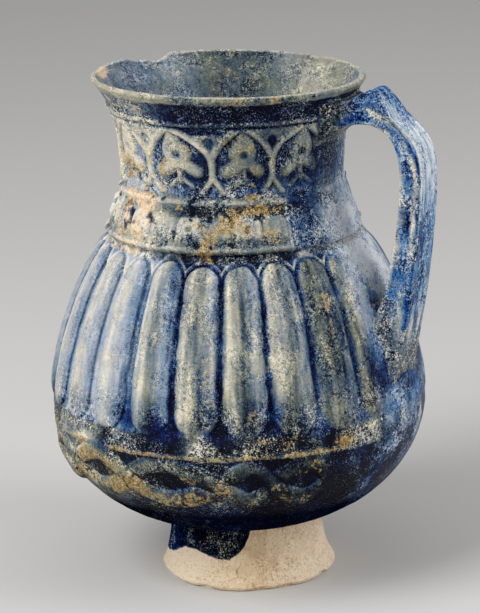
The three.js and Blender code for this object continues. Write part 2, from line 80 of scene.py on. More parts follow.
# Radii and forms of the wall, as in the part
FOOT_RADIUS = 31
FOOT_WAIST = 26.5
FOOT_FLARE = 8
FOOT_BEVEL = 1.6
FOOT_WALL = 5.5
BELLY_RADIUS = 66
BOWL_DEPTH = 44
BOWL_ARC_START = 14
BOWL_SEAT_RADIUS = 30
BOWL_SEAT_INSET = 0.8
BOWL_FLOOR = 5.2
BODY_WALL = 6.5
BELLY_FULLNESS = 18.7
SHOULDER_RADIUS = 44.5
SHOULDER_SPREAD = 8.1
SHOULDER_DROP = 6.3
COLLAR_RADIUS = 44.6
NECK_RADIUS = 38.6
NECK_WALL = 4.6
NECK_TOP_RADIUS = 43
NECK_FLARE = 9
RIM_RADIUS = 47.2
RIM_CURL = 2.2
LIP = 2.8

# The mouth leans to the camera and its right, and sits a little to its left
CAMERA_ANGLE = -62
MOUTH_BACK_LIFT = 0.8
MOUTH_RIGHT_DROP = 0.9
MOUTH_SHIFT = 0.9
MOUTH_LEAN_START = 160

# Ornament of the wall. Two values together are where something starts and is full, and three
# are where it starts, where it ends and how soft both ends are.
FLUTE_PITCH = 15
FLUTE_DEPTH = 2.1
FLUTE_MARGIN = 1.1
FLUTE_SHARE = 0.94
FLUTE_FLATNESS = 3.2
LEFT_GROOVE = 0.12
SCALLOP_HEIGHT = 0.9
SCALLOP_REACH = (1.13, 1.27, 0.045)
RIDGE_WIDTH = 2.0
RIDGE_HEIGHT = 0.8
RIDGE_INSET = 1.6
BELLY_RIDGE_DROP = 4
STRAND_WAVE = 22.5
STRAND_START = 35.75
STRAND_WAVES = 13
STRAND_DROP = 14.6
STRAND_RISE = 6.4
STRAND_WIDTH = 6.4
STRAND_HEIGHT = 1.6
STRAND_END = 0.2
STRAND_OVER = (0.2, 0.8)
STRAND_CLEAR = (0.42, 0.68)
ARCH_PITCH = 33
ARCH_COUNT = 10
FIRST_ARCH = -24.5
ARCH_FOOT_RISE = 1.2
ARCH_SPRING_RISE = 9.4
ARCH_SHARPNESS = 1.9
ARCH_LEG_HEIGHT = 5.5
ARCH_LEG_SPREAD = 0.32
ARCH_PIT_RISE = 16.6
ARCH_PIT_RADII = (2.5, 1.2)
ARCH_RIB_WIDTH = 2.6
ARCH_RIB_HEIGHT = 1.3
ARCH_LOST_FRONT = (-90, -62, 4)
COLLAR_SEAM = 36
SEAM_WIDTH = 1.1
SEAM_HEIGHT = 0.35
SEAM_PER_DEGREE = 0.74
LOBE_PITCH = 13.5
LOBE_HEIGHT = 0.8
LOBE_FOOT = 0.3
LOBE_SPRING = 5.8
LOBE_RADIUS = 3.4
LOBE_RIB_WIDTH = 2.6
LOBE_EYE_RISE = 5.2
LOBE_EYE_RADIUS = 1.9
LOBE_EYE_WIDTH = 2.1
PETAL_RISE = 5.6
PETAL_WIDTH = 5.4

# Fineness of the meshes
COLUMNS = 720
BOWL_STEP = 0.55
BODY_STEP = 0.55
FINE_STEP = 0.34
INSIDE_ROWS = 10
FOOT_ROWS = 96
SECTION_SAMPLES = 6001
STRAP_SIDES = 132
STRAP_STATIONS = 260
REST_ROWS = 60
SHARP_ANGLE = 55


# Curves and smooth steps
def blend(first, second, share):
    return first + (second - first) * share


def bezier(points, count=80):
    share = np.linspace(0, 1, count)[:, None]
    rows = [np.repeat([point], count, 0) for point in np.array(points, float)]
    while len(rows) > 1:
        rows = [blend(a, b, share) for a, b in zip(rows, rows[1:])]
    return rows[0]


def arc(centre, reach, start, end, count=60):
    turn = np.radians(np.linspace(start, end, count))
    return np.stack([centre[0] + reach[0] * np.cos(turn), centre[1] + reach[1] * np.sin(turn)], 1)


def step(value, start, end):
    """A smooth step from 0 at the start to 1 at the end, which falls when the end lies lower."""
    share = np.clip((value - start) / (end - start), 0, 1)
    return share * share * (3 - 2 * share)


def bridge(value, rise, top, edge, end):
    """0 up to the rise, 1 from the top to the edge, and 0 past the end."""
    return step(value, rise, top) * step(value, end, edge)


def within(value, low, high, soft):
    """1 between two values, with soft edges."""
    return bridge(value, low - soft, low + soft, high - soft, high + soft)


def hump(distance, width):
    return np.sqrt(np.clip(1 - (2 * distance / width) ** 2, 0, 1))


def signed(angle):
    return (angle + 180) % 360 - 180


def spot(turn, level, place, size):
    """A soft spot on the wall, 1 at its place, fading over its size."""
    across = signed(turn - place[0]) / size[0]
    along = (level - place[1]) / size[1]
    return np.exp(-(across**2) - along**2)


# Noise that is the same each run
def lumps(points, size, seed):
    """Smooth noise from 0 to 1, with lumps of about this size."""
    cells = 32
    lattice = np.random.default_rng(seed).random((cells, cells, cells))
    place = points / size + cells / 2
    corner = np.floor(place).astype(int)
    part = place - corner
    part = part * part * (3 - 2 * part)
    total = np.zeros(points.shape[:-1])
    for way in itertools.product((0, 1), repeat=3):
        index = (corner + way) % cells
        weight = np.prod(np.where(way, part, 1 - part), axis=-1)
        total += weight * lattice[index[..., 0], index[..., 1], index[..., 2]]
    return total


# Three sizes of lump: how much finer each is than the first, and its weight
LUMP_KINDS = [(1, 0.57), (2.1, 0.29), (4.3, 0.14)]


def wrought(points, size, seed):
    """Noise over three sizes of lump, about -0.4 to 0.4."""
    kinds = enumerate(LUMP_KINDS)
    return sum(weight * lumps(points, size / finer, seed + k) for k, (finer, weight) in kinds) - 0.5


# Lines of the wall, as radius and level
def body_line(inset):
    return bezier([
        (BELLY_RADIUS - inset, BODY_BASE),
        (BELLY_RADIUS - inset, BODY_BASE + BELLY_FULLNESS),
        (SHOULDER_RADIUS + SHOULDER_SPREAD - inset, SHOULDER - SHOULDER_DROP),
        (SHOULDER_RADIUS - inset, SHOULDER),
    ])


def neck_line(inset):
    return bezier([
        (NECK_RADIUS - inset, NECK_BASE),
        (NECK_RADIUS - inset, (NECK_BASE + NECK_TOP) / 2),
        (NECK_RADIUS - inset, NECK_TOP - NECK_FLARE),
        (NECK_TOP_RADIUS - inset, NECK_TOP),
    ])


def rim_line(foot_inset, lip_inset):
    return bezier([
        (NECK_TOP_RADIUS - foot_inset, RIM_BASE),
        (RIM_RADIUS - RIM_CURL - lip_inset, (RIM_BASE + RIM_TOP) / 2),
        (RIM_RADIUS - lip_inset, RIM_TOP - LIP / 2),
    ])


BOWL_REACH = BELLY_RADIUS - BOWL_ARC_START
SEAT_TURN = math.degrees(math.acos((BOWL_SEAT_RADIUS - BOWL_ARC_START) / BOWL_REACH))
OUTSIDE = np.vstack([
    [(BOWL_SEAT_RADIUS - BOWL_SEAT_INSET, FOOT_JOINT)],
    arc((BOWL_ARC_START, BELLY), (BOWL_REACH, BOWL_DEPTH), -SEAT_TURN, 0),
    body_line(0),
    [(COLLAR_RADIUS, COLLAR_BASE), (NECK_RADIUS, COLLAR_TOP)],
    neck_line(0),
    rim_line(0, 0),
])
LIP_ROUND = arc((RIM_RADIUS - LIP / 2, RIM_TOP - LIP / 2), (LIP / 2, LIP / 2), 0, 180, 24)
INSIDE_DEPTH = BELLY - BOWL_BASE - BOWL_FLOOR
INSIDE = np.vstack([
    arc((BOWL_ARC_START, BELLY), (BOWL_REACH - BODY_WALL, INSIDE_DEPTH), -90, 0),
    body_line(BODY_WALL),
    [(SHOULDER_RADIUS - BODY_WALL, COLLAR_BASE), (NECK_RADIUS - NECK_WALL, COLLAR_TOP)],
    neck_line(NECK_WALL),
    rim_line(NECK_WALL, LIP),
])


def run_of(points):
    """Length along a line of points, from its first one."""
    gaps = np.hypot(*np.diff(points, axis=0).T)
    return np.concatenate([[0], np.cumsum(gaps)])


class Line:
    """A line of plan points that is read by its length or its level."""

    def __init__(self, points):
        self.points = np.array(points, float)
        self.length = run_of(self.points)

    def at(self, length):
        return np.stack([np.interp(length, self.length, self.points[:, k]) for k in (0, 1)], -1)

    def length_at(self, level):
        return np.interp(level, self.points[:, 1], self.length)

    def radius_at(self, level):
        return np.interp(level, self.points[:, 1], self.points[:, 0])

    def between(self, low, high, spacing=None, count=None):
        """Lengths along the line from one level to another."""
        start, end = self.length_at(low), self.length_at(high)
        return np.linspace(start, end, count or max(2, round(abs(end - start) / spacing) + 1))

    def facing(self, length, reach=0.7):
        """Ways out of the wall, as radius and level, smoothed over a short reach."""
        ahead = self.at(length + reach) - self.at(length - reach)
        out = np.stack([ahead[..., 1], -ahead[..., 0]], -1)
        return out / np.linalg.norm(out, axis=-1, keepdims=True)


outer = Line(OUTSIDE)
inner = Line(INSIDE)


def wall_points(radius, level, angle):
    turn = np.radians(angle)
    across = radius * np.cos(turn)
    along = radius * np.sin(turn)
    return np.stack([across, along, np.broadcast_to(level, across.shape)], -1)


def leaned(points):
    """The points of the neck and rim, with the mouth leaning."""
    turn = math.radians(CAMERA_ANGLE)
    aside = np.array([-math.sin(turn), math.cos(turn)])
    behind = np.array([-math.cos(turn), -math.sin(turn)])
    flat = points[..., :2]
    lift = (MOUTH_BACK_LIFT * (flat @ behind) - MOUTH_RIGHT_DROP * (flat @ aside)) / RIM_RADIUS
    share = step(points[..., 2], MOUTH_LEAN_START, RIM_TOP)
    points = points.copy()
    points[..., 2] += share * lift
    points[..., :2] -= (share * MOUTH_SHIFT)[..., None] * aside
    return points


# Sides of the wall: pale at the left, partly from wear and partly painted light, darker at the
# right, partly painted shade, and plain by the handle.
# Each is the angles where it rises, stands, starts to fall and ends.
LEFT_SIDE = (-178, -158, -108, -84)
RIGHT_SIDE = (-46, -32, 40, 60)
PLAIN_SIDE = (-22, -8, 24, 38)


def sides(turn):
    return SimpleNamespace(
        left=bridge(turn, *LEFT_SIDE),
        right=bridge(turn, *RIGHT_SIDE),
        plain=bridge(turn, *PLAIN_SIDE),
    )


# Relief of the wall: the ground between the flutes lies this deep at these levels
GROUND_LEVELS = [60.6, 63.5, 67, 72, 116.5, 120.6, 122.7, 124.2]
GROUND_DEPTHS = [0, 0.3, 1.2, FLUTE_DEPTH, FLUTE_DEPTH, 1.9, 1.4, 0]

# The bowl and the neck are flattened a little at the left, as place, size and depth
HOLLOWS = [
    ((-152, 57), (18, 7), 1.8),
    ((-152, 150), (45, 22), 1.0),
]


def flutes(angle, level):
    """Swell of the flutes, the scalloped border over them, and the place and reach in each."""
    turns = angle / FLUTE_PITCH
    across = 2 * (turns - np.round(turns))
    half = math.radians(FLUTE_PITCH) / 2
    foot_round = half * BELLY_RADIUS
    top_round = half * SHOULDER_RADIUS
    below = (BODY_BASE + FLUTE_MARGIN + foot_round - level) / foot_round
    above = (level - SHOULDER + FLUTE_MARGIN + top_round) / top_round
    along = np.maximum(np.maximum(below, above), 0)
    share = FLUTE_SHARE - LEFT_GROOVE * sides(signed(angle)).left
    reach = np.hypot(across / share, along)
    swell = np.sqrt(np.clip(1 - reach**FLUTE_FLATNESS, 0, 1))
    notch = blend(0.3, 1, step(np.abs(across), 0.5, 0.9))
    border = within(reach, *SCALLOP_REACH) * step(above, 0.05, 0.3) * notch
    return swell, border, across, reach


# The strands swing a little unevenly in front
STRAND_DRIFT_AT = [-110, -86, -67.2, -58.8, -52.6, -42, -34.3, 0]
STRAND_DRIFT = [0, -2, -9.5, -6.7, -1.6, -1, 2.5, 2.5]


def strands(angle, level):
    """Two strands that swing apart and cross, the one that falls to the right lying over."""
    turned = angle + np.interp(signed(angle), STRAND_DRIFT_AT, STRAND_DRIFT)
    place = (turned % 360 - STRAND_START) / STRAND_WAVE
    kept = bridge(place, 0, STRAND_END, STRAND_WAVES - STRAND_END, STRAND_WAVES)
    swing = STRAND_RISE * np.sin(np.pi * place)
    wave = math.radians(STRAND_WAVE) * BELLY_RADIUS
    slope = np.hypot(1, STRAND_RISE * np.pi / wave * np.cos(np.pi * place))
    offset = level - (BELLY - STRAND_DROP)
    first = np.abs(offset - swing) / slope
    second = np.abs(offset + swing) / slope
    first_over = step(-np.cos(np.pi * place), *STRAND_OVER)
    second_over = step(np.cos(np.pi * place), *STRAND_OVER)
    first_clear, second_clear = (
        step(distance / STRAND_WIDTH, *STRAND_CLEAR) for distance in (first, second)
    )
    one = hump(first, STRAND_WIDTH) * (1 - second_over * (1 - second_clear))
    two = hump(second, STRAND_WIDTH) * (1 - first_over * (1 - first_clear))
    return kept * np.maximum(one, two)


def ridges(turn, level):
    """Half-round ridges between the bands, worn away towards the handle."""
    from_handle = np.abs(turn)
    patched = step(from_handle, COLLAR_SEAM - 1, COLLAR_SEAM + 0.5)
    found = [
        (BELLY - BELLY_RIDGE_DROP, step(from_handle, 26, 38)),
        (COLLAR_BASE + RIDGE_INSET, blend(0.12, 1, patched)),
        (COLLAR_TOP - RIDGE_INSET, blend(0.15, 1, patched)),
        (NECK_TOP - RIDGE_INSET, step(from_handle, 12, 20)),
    ]
    return sum(share * hump(np.abs(level - place), RIDGE_WIDTH) for place, share in found)


def capsule(across, along, start, end, radius):
    """Distance from a rounded bar between two points, below 0 inside it."""
    way = np.subtract(end, start)
    share = ((across - start[0]) * way[0] + (along - start[1]) * way[1]) / (way @ way)
    share = np.clip(share, 0, 1)
    return np.hypot(across - start[0] - share * way[0], along - start[1] - share * way[1]) - radius


# The arches stand a little unevenly round the neck, and those at the left lean
ARCH_DRIFT_AT = [-158, -125.4, -93.5, -73, -56.4, -41, -24.4, 0]
ARCH_DRIFT = [0, 1.9, 3.0, -0.2, -1.1, 1.6, 2.9, 3]
ARCH_LEAN = [0, 0.1, 0.25, 0.1, 0, 0, 0, 0]

# A palmette: half-widths of its pointed leaf, the bars of its side lobe, stem and leaflet,
# each as start, end and radius, and its eye
LEAF_LEVELS = [8.2, 9.6, 11.4, 12.8, 14.6, 16.6, 18.4, 20.0, 21.4]
LEAF_WIDTHS = [3.2, 3.7, 4.8, 5.3, 5.0, 4.1, 2.9, 1.7, 0.2]
LEAF_BARS = [
    ((2.2, 9.2), (6.0, 6.9), 2.5),
    ((0, 3.2), (0, 9.6), 1.1),
    ((0.3, 4.6), (4.2, 1.4), 0.9),
]
LEAF_BEVEL = 1.5
LEAF_EYE_RISE = 12.6
LEAF_EYE = (1.9, 0.8)


def leaf(aside, rise):
    """Height of a palmette from 0 to 1, at these distances aside and over its foot."""
    tip = aside - np.interp(rise, LEAF_LEVELS, LEAF_WIDTHS, left=-2, right=-2)
    edge = np.minimum.reduce([tip] + [capsule(aside, rise, *bar) for bar in LEAF_BARS])
    eye = step(np.hypot(aside, rise - LEAF_EYE_RISE), *LEAF_EYE)
    return np.clip(-edge / LEAF_BEVEL, 0, 1) ** 0.6 * step(rise, 0.4, 1.4) * (1 - 0.85 * eye)


def arcade(turn, level):
    """The pointed arches with their leaves, and their ribs and filled corners alone."""
    turned = turn + np.interp(turn, ARCH_DRIFT_AT, ARCH_DRIFT)
    turned = turned - np.interp(turn, ARCH_DRIFT_AT, ARCH_LEAN) * (NECK_TOP - level)
    place = (FIRST_ARCH + ARCH_PITCH / 2 - turned) % 360
    kept = np.where(turn < 0, step(-turn, 14, 20), step(turn, 32, 38))
    half = ARCH_PITCH / 2
    across = np.abs(place % ARCH_PITCH - half) / half
    half_width = NECK_RADIUS * math.radians(half)
    foot = NECK_BASE + ARCH_FOOT_RISE
    spring = foot + ARCH_SPRING_RISE
    point = NECK_TOP - RIDGE_INSET - RIDGE_WIDTH / 2
    kept = kept * (place < ARCH_PITCH * ARCH_COUNT)
    kept = kept * bridge(level, foot - 1.4, foot - 0.4, point - 1.0, point)
    share = np.clip((level - spring) / (point - spring), 0, 1)
    spread = 1 - share**ARCH_SHARPNESS
    lean = half_width * ARCH_SHARPNESS * share ** (ARCH_SHARPNESS - 1) / (point - spring)
    leg = np.clip((foot + ARCH_LEG_HEIGHT - level) / ARCH_LEG_HEIGHT, 0, 1)
    leg = ARCH_LEG_SPREAD * leg**1.4
    from_rib = np.abs(across - spread + leg) * half_width / np.hypot(1, lean)
    rib = hump(from_rib, ARCH_RIB_WIDTH)
    aside = across * half_width
    rise = level - foot
    corner = step((across - spread) * half_width, 0.6, 1.4) * step(level, spring + 3, spring + 6)
    pit = step(np.hypot(aside - half_width, 0.8 * (rise - ARCH_PIT_RISE)), *ARCH_PIT_RADII)
    lost = step(level, point - 3.4, point - 2.2) * within(turn, *ARCH_LOST_FRONT)
    ribs = np.maximum(rib, corner * (0.62 - 0.7 * pit) * (1 - lost))
    return kept * np.maximum(ribs, leaf(aside, rise)), kept * ribs


# Lobes of the collar wore away to different heights
LOBE_WEAR = np.random.default_rng(5).uniform(0.35, 1, 54)


def frieze(angle, level):
    """A worn row of arched lobes round the collar, with eyes and petals by turns."""
    turns = angle / LOBE_PITCH
    number = np.floor(turns)
    pitch = math.radians(LOBE_PITCH) * (COLLAR_RADIUS + NECK_RADIUS) / 2
    across = (turns - number - 0.5) * pitch
    rise = level - COLLAR_BASE - RIDGE_INSET - RIDGE_WIDTH / 2 - LOBE_FOOT
    eyed = number % 2 == 0
    ring = np.abs(np.hypot(across, np.maximum(rise - LOBE_SPRING, 0)) - LOBE_RADIUS)
    arched = hump(ring, LOBE_RIB_WIDTH) * step(rise, 1.6, 3)
    from_eye = np.hypot(across, rise - LOBE_EYE_RISE)
    eye = hump(np.abs(from_eye - LOBE_EYE_RADIUS), LOBE_EYE_WIDTH) * eyed
    petal = 0.8 * hump(np.hypot(across, (rise - PETAL_RISE) * 0.8), PETAL_WIDTH) * (1 - eyed)
    kept = step(np.abs(signed(angle)), COLLAR_SEAM + 0.6, COLLAR_SEAM + 2)
    kept = kept * bridge(rise, 0, 0.7, 9.6, 11.2)
    worn = LOBE_WEAR[number.astype(int) % len(LOBE_WEAR)]
    return kept * worn * np.maximum(np.maximum(arched, eye), petal)


# How far each ornament strays from its place, round the wall in degrees and up it
STRAYS = {"flutes": (0.9, 2.4), "strands": (2, 2), "arcade": (2.5, 1.4), "frieze": (5, 1.6)}

# What wear leaves of each: the mean, its swing with the mottle, the least and the most
WEAR = {
    "strands": (0.88, 1.5, 0.35, 1.1),
    "ridges": (0.9, 0.8, 0.5, 1.1),
    "arcade": (0.95, 0.6, 0.6, 1.1),
    "frieze": (0.9, 1.4, 0.1, 1.2),
}
# How far below a point the strands are read again for their painted light and shade, and how drawn
# out the streaks are up the wall
PAINTED_LIGHT_SHIFT = 0.9
STREAK_STRETCH = 8


def relief(angle, level):
    """Height of the outside over its line, and the raised parts that the glaze follows."""
    turn = signed(angle)
    plain = wall_points(outer.radius_at(level), level, angle)
    mottle = wrought(plain, 9, 11)
    grit = wrought(plain, 2.8, 21)
    drift = wrought(plain, 15, 31)
    rise = wrought(plain, 12, 41)

    def strayed(form):
        aside, up = STRAYS[form]
        return angle + aside * drift, level + up * rise

    def left_of(form):
        mean, swing, least, most = WEAR[form]
        return np.clip(mean + swing * mottle, least, most)

    smooth = sides(turn).plain
    swell, border, across, reach = flutes(*strayed("flutes"))
    fluted = (level > BELLY - 1) & (level < COLLAR_BASE)
    swell = np.where(fluted, np.maximum(swell, smooth * step(level, 62, 68)), 0)
    border = np.where(fluted, border * (1 - smooth), 0)
    ground = np.interp(level, GROUND_LEVELS, GROUND_DEPTHS)
    strand_angle, strand_level = strayed("strands")
    strand = strands(strand_angle, strand_level) * left_of("strands")
    # Painted light and shade on the strands: paler on their upper edges, darker on their lower ones
    lit = strands(strand_angle, strand_level - PAINTED_LIGHT_SHIFT) - strand
    ridge = ridges(turn, level + rise) * left_of("ridges")
    arch_angle, arch_level = strayed("arcade")
    on_neck = (level > COLLAR_JOINT) * left_of("arcade")
    arch, ribs = (part * on_neck for part in arcade(signed(arch_angle), arch_level))
    on_collar = (level > COLLAR_BASE) & (level < COLLAR_TOP)
    lobes = np.where(on_collar, frieze(*strayed("frieze")), 0) * left_of("frieze")
    from_seam = np.abs(np.abs(turn) - COLLAR_SEAM) * SEAM_PER_DEGREE
    seam = hump(from_seam, SEAM_WIDTH) * within(level, SHOULDER - 1, COLLAR_TOP - 1, 1)
    height = -ground * (1 - swell * (1 + 0.14 * mottle))
    height = height + border * SCALLOP_HEIGHT + ridge * RIDGE_HEIGHT + strand * STRAND_HEIGHT
    height = height + arch * ARCH_RIB_HEIGHT + lobes * LOBE_HEIGHT + seam * SEAM_HEIGHT
    height = height + 0.35 * mottle + 0.2 * grit
    for place, size, depth in HOLLOWS:
        height = height - depth * spot(turn, level, place, size)
    upright = wall_points(BELLY_RADIUS + 0 * angle, level / STREAK_STRETCH, angle)
    raised = {"border": border, "across": across, "reach": reach, "strand": strand, "lit": lit}
    raised |= {"ridge": ridge, "arch": arch, "ribs": ribs, "lobes": lobes, "seam": seam}
    raised |= {"mottle": mottle, "grit": grit}
    raised |= {"streak": wrought(upright, 3.2, 45), "scratch": wrought(upright, 1.5, 47)}
    return height, SimpleNamespace(**raised)


# What the glaze does in each zone, from 0 to 1:
# how pale it is, how warm, how bright a blue, how soiled, how grainy and how much clay is bare
LOOKS = ("tone", "warm", "azure", "soil", "grain", "bare")

# Rust-coloured deposits and dark pools, each as angle, level, half-width, half-height and strength
DEPOSITS = [
    (-97, 47, 15, 4, 0.36),
    (-76, 43, 9, 3, 0.2),
    (-110, 56, 10, 3, 0.25),
    (-30, 62, 4, 2, 0.45),
    (-74, 125, 4, 5, 0.6),
    (-64, 132, 14, 3.5, 0.45),
    (-50, 137, 12, 2, 0.45),
    (-46, 128, 6, 3, 0.35),
    (-53, 141.5, 4, 1.6, 0.45),
    (-98, 151, 3, 5, 0.4),
    (-65, 160.5, 2.5, 2, 0.5),
    (-122, 148, 14, 5, 0.35),
    (-122, 128, 14, 6, 0.3),
    (-6, 103, 4, 5, 0.4),
    (-71, 88, 2.2, 12, 0.32),
    (-57, 76, 3, 8, 0.25),
    (-46, 80, 2, 10, 0.3),
    (-29, 104, 3, 12, 0.3),
]
POOLS = [
    (-84.5, 67, 5, 5, 0.5),
    (-97.2, 71, 1.8, 5, 0.45),
    (-51, 73, 2.2, 8, 0.4),
    (-107, 60, 4, 3, 0.35),
    (-67, 66, 4, 3, 0.35),
    (-36, 67, 4, 4, 0.35),
    (-142, 70, 3, 4, 0.3),
]
POOL_LOOKS = {"tone": 0.12, "warm": 0, "azure": 0.85, "soil": -0.2, "grain": 0.35}


def marks(turn, level, found):
    return sum(strength * spot(turn, level, place[:2], place[2:]) for *place, strength in found)


def worked_in(looks, wanted, share):
    """Turns the looks towards the wanted ones by this share."""
    for key, value in wanted.items():
        looks[key] = blend(looks[key], value, share)


# The bowl: levels of its underside, darkened with painted shade, and angles where it turns pale and
# where painted shade dims it
SHADED_UNDERSIDE = (41, 33)
BOWL_PALE = (-76, -100)
BOWL_SHADED_SIDE = (-68, -46)


def bowl_looks(turn, level, raised, side):
    left, plain = side.left, side.plain
    worn = step(raised.strand, 0.2, 0.75) * np.clip(0.95 + 1.1 * raised.grit, 0.5, 1.05)
    # Painted shade darkens the underside and dims the right side
    under = step(level, *SHADED_UNDERSIDE)
    pale = step(turn, *BOWL_PALE)
    painted_dim = step(turn, *BOWL_SHADED_SIDE) * (1 - plain)
    gap = 0.01 + 0.18 * pale + 0.04 * left + 0.13 * plain + (0.7 + 0.5 * plain) * raised.mottle
    crest = 0.24 + 0.16 * pale + 0.02 * left - 0.1 * painted_dim
    # The strands' painted highlight on top and painted shade below
    lit = 0.65 * raised.lit * step(level, 38, 42) * (1 - 0.3 * painted_dim)
    tone = blend(gap, crest, worn) - 0.04 * painted_dim + lit
    return {
        "tone": tone * (1 - 0.9 * under),
        "warm": 0.55 + 0.7 * worn + 0.4 * pale - 0.5 * plain,
        "azure": 0.35 - 0.35 * worn + 0.2 * plain,
        "soil": 0.13 + 0.27 * worn + 0.12 * left - 0.3 * under - 0.1 * plain,
        "grain": 0.95 - 0.2 * worn - 0.5 * under + 0.4 * plain - 0.3 * painted_dim,
    }


def belly_looks(turn, level, raised, side):
    left, plain, ridge = side.left, side.plain, raised.ridge
    tone = 0.25 + 0.3 * left + 1.3 * raised.mottle + 0.03 * plain
    # Painted shadow: a dark line just under the belly ridge
    tone = tone - 0.22 * within(level, BELLY - 6.4, BELLY - 5.4, 0.3)
    return {
        "tone": blend(tone, 0.46 + 0.13 * left, ridge),
        "warm": 0.85 - 0.6 * plain,
        "azure": 0.4 * plain,
        "soil": 0.28 + 0.36 * ridge - 0.2 * plain,
        "grain": 1.4 - 0.4 * plain - 0.6 * ridge,
    }


# Tone and warmth across a flute, from its left groove to its right one:
# on the left side, in front and on the right side. The paler left flanks and darker right flanks
# are partly painted light and shade, and partly wear.
FLUTE_PLACES = [-0.9, -0.65, -0.4, -0.1, 0.2, 0.5, 0.8]
LEFT_TONES = [0.71, 0.78, 0.82, 0.80, 0.75, 0.67, 0.57]
FRONT_TONES = [0.60, 0.72, 0.65, 0.50, 0.48, 0.57, 0.54]
RIGHT_TONES = [0.38, 0.42, 0.39, 0.34, 0.34, 0.46, 0.44]
LEFT_WARMTH = [0.35, 0.52, 0.62, 0.62, 0.45, 0.20, 0.00]
FRONT_WARMTH = [0.75, 0.95, 1.00, 0.85, 0.70, 0.45, 0.35]

# The body: levels of the flutes' dull foot and of the grooves' start, and angles of the flutes
# with a dark flank, of the palest one and of the cool side
FLUTE_FOOT = (84, 66)
GROOVE_START = (64, 70)
DARK_FLANKS = (-112, -84, 5)
PALEST_FLUTE = (-98, -84, 4)
COOL_SIDE = (-178, -158, -96, -76)

# The pale stretch by the handle ends raggedly, and painted shadow darkens a pocket of it between
# the wall and the handle, where rust also lies
FADE = (38, 12)
FADE_RAGGED = 60
POCKET_SHADOW = ((-6, 102), (4, 6))


def faded(turn, raised):
    return step(turn + FADE_RAGGED * raised.mottle, *FADE)


def body_looks(turn, level, raised, side):
    across, reach, streak = raised.across, raised.reach, raised.streak
    left, right, plain = side.left, side.right, side.plain
    low = step(level, *FLUTE_FOOT)
    groove = step(reach + 0.22 * raised.grit * (1 - left), 0.88, 1.0) * step(level, *GROOVE_START)
    line = hump(np.abs(reach - 0.97), 0.08) * (1 - right)
    flank = within(turn, *DARK_FLANKS) * step(across, 0.2, 0.6) * (1 - groove)
    left_tone, front_tone, right_tone, left_warm, warm = (
        np.interp(across, FLUTE_PLACES, values)
        for values in (LEFT_TONES, FRONT_TONES, RIGHT_TONES, LEFT_WARMTH, FRONT_WARMTH)
    )
    # The flanks' tones carry painted light and shade as well as wear
    crest = blend(front_tone, left_tone, left) + (right_tone - front_tone) * right
    crest = crest + (0.6 * streak + 0.5 * raised.scratch) * (1 - 0.6 * left)
    crest = crest + 0.05 * within(turn, *PALEST_FLUTE)
    crest = crest - flank * np.clip(0.08 + 1.3 * streak, 0, 0.45)
    crust = np.clip(3 * raised.mottle, 0, 1) * (1 - left)
    floor = 0.07 + 0.64 * left + 0.12 * right + 0.3 * streak + 0.22 * crust
    tone = blend(crest, floor, groove) - 0.4 * line * left * (across > 0)
    tone = tone - low * (0.04 + 0.3 * np.clip(-3 * raised.mottle, 0, 1)) + 0.6 * raised.border
    pale = faded(turn, raised)
    # Painted shadow in the pocket between the wall and the handle
    painted_pocket_shadow = spot(turn, level, *POCKET_SHADOW)
    plain_tone = 0.24 + 0.76 * step(level, 80, 106) * pale + 0.8 * raised.mottle - 0.6 * painted_pocket_shadow
    warm = blend(warm, left_warm, bridge(turn, *COOL_SIDE)) + 0.8 * raised.scratch
    warm = blend(warm, 0.05, groove) + 0.8 * raised.border
    azure = 0.1 * flank + plain * (0.5 - 0.15 * step(level, 80, 100))
    return {
        "tone": blend(tone, plain_tone, plain),
        "warm": blend(warm, -0.3, plain) - 0.3 * flank,
        "azure": azure + groove * (0.4 - 0.2 * left),
        "soil": 0.17 - 0.12 * groove - 0.1 * left + 0.3 * streak,
        "grain": 0.36 + 0.2 * right - 0.12 * left + 0.5 * low + groove * (0.3 - 0.4 * left),
        "bare": 0.2 * plain * step(level, 95, 112) * pale,
    }


def band_looks(turn, level, raised, side):
    left = side.left
    patched = step(np.abs(turn), COLLAR_SEAM, COLLAR_SEAM - 6)
    return {
        "tone": 0.1 + 0.9 * raised.border + 0.55 * left + 0.34 * patched + 0.3 * side.plain,
        "warm": 0.6 - 0.3 * patched + 0.4 * raised.border,
        "soil": 0.15 + 0.12 * left,
        "grain": 1.0,
        "bare": 0.45 * left,
    }


# The collar: the shaded band over its lobes, its mottled far left and a pale place beside that
COLLAR_SHADE = (11.8, 15.2, 0.8)
FAR_LEFT = (-122, -138)
COLLAR_PALE = ((-89, 130), (13, 7))


def collar_looks(turn, level, raised, side):
    left, mottle = side.left, raised.mottle
    patched = step(np.abs(turn) + 7 * mottle, COLLAR_SEAM + 2, COLLAR_SEAM - 2)
    rise = level - COLLAR_BASE
    shade = within(rise, *COLLAR_SHADE) * (1 - left)
    far_left = step(turn, *FAR_LEFT)
    pitted = step(raised.grit, 0.14, 0.2)
    lobed = np.clip(raised.lobes, 0, 1) ** 0.7 * (1 - 0.45 * left)
    tone = 0.39 + 0.42 * lobed + 0.28 * left - 0.28 * shade - 0.45 * pitted
    tone = tone + far_left * (1.3 * mottle - 0.12)
    tone = tone + 0.14 * spot(turn, level, *COLLAR_PALE)
    pale = faded(turn, raised)
    infill_tone = 0.38 + 0.12 * pale + 0.46 * step(turn, -22, -4) * pale + 0.7 * mottle
    infill_tone = infill_tone - 0.14 * shade * step(turn, -12, -30)
    infill_tone = infill_tone - 0.26 * step(rise + 12 * mottle, 10, 16)
    return {
        "tone": blend(tone, infill_tone, patched) + 0.2 * raised.ridge * (1 - patched),
        "warm": 0.8 - 0.45 * patched - 0.7 * patched * step(turn, -18, 0),
        "azure": 0.4 * patched,
        "soil": 0.24 - 0.16 * patched,
        "grain": 0.55 + 0.3 * patched - 0.1 * left + 0.5 * shade,
        "bare": (0.5 - 0.3 * far_left) * left,
    }


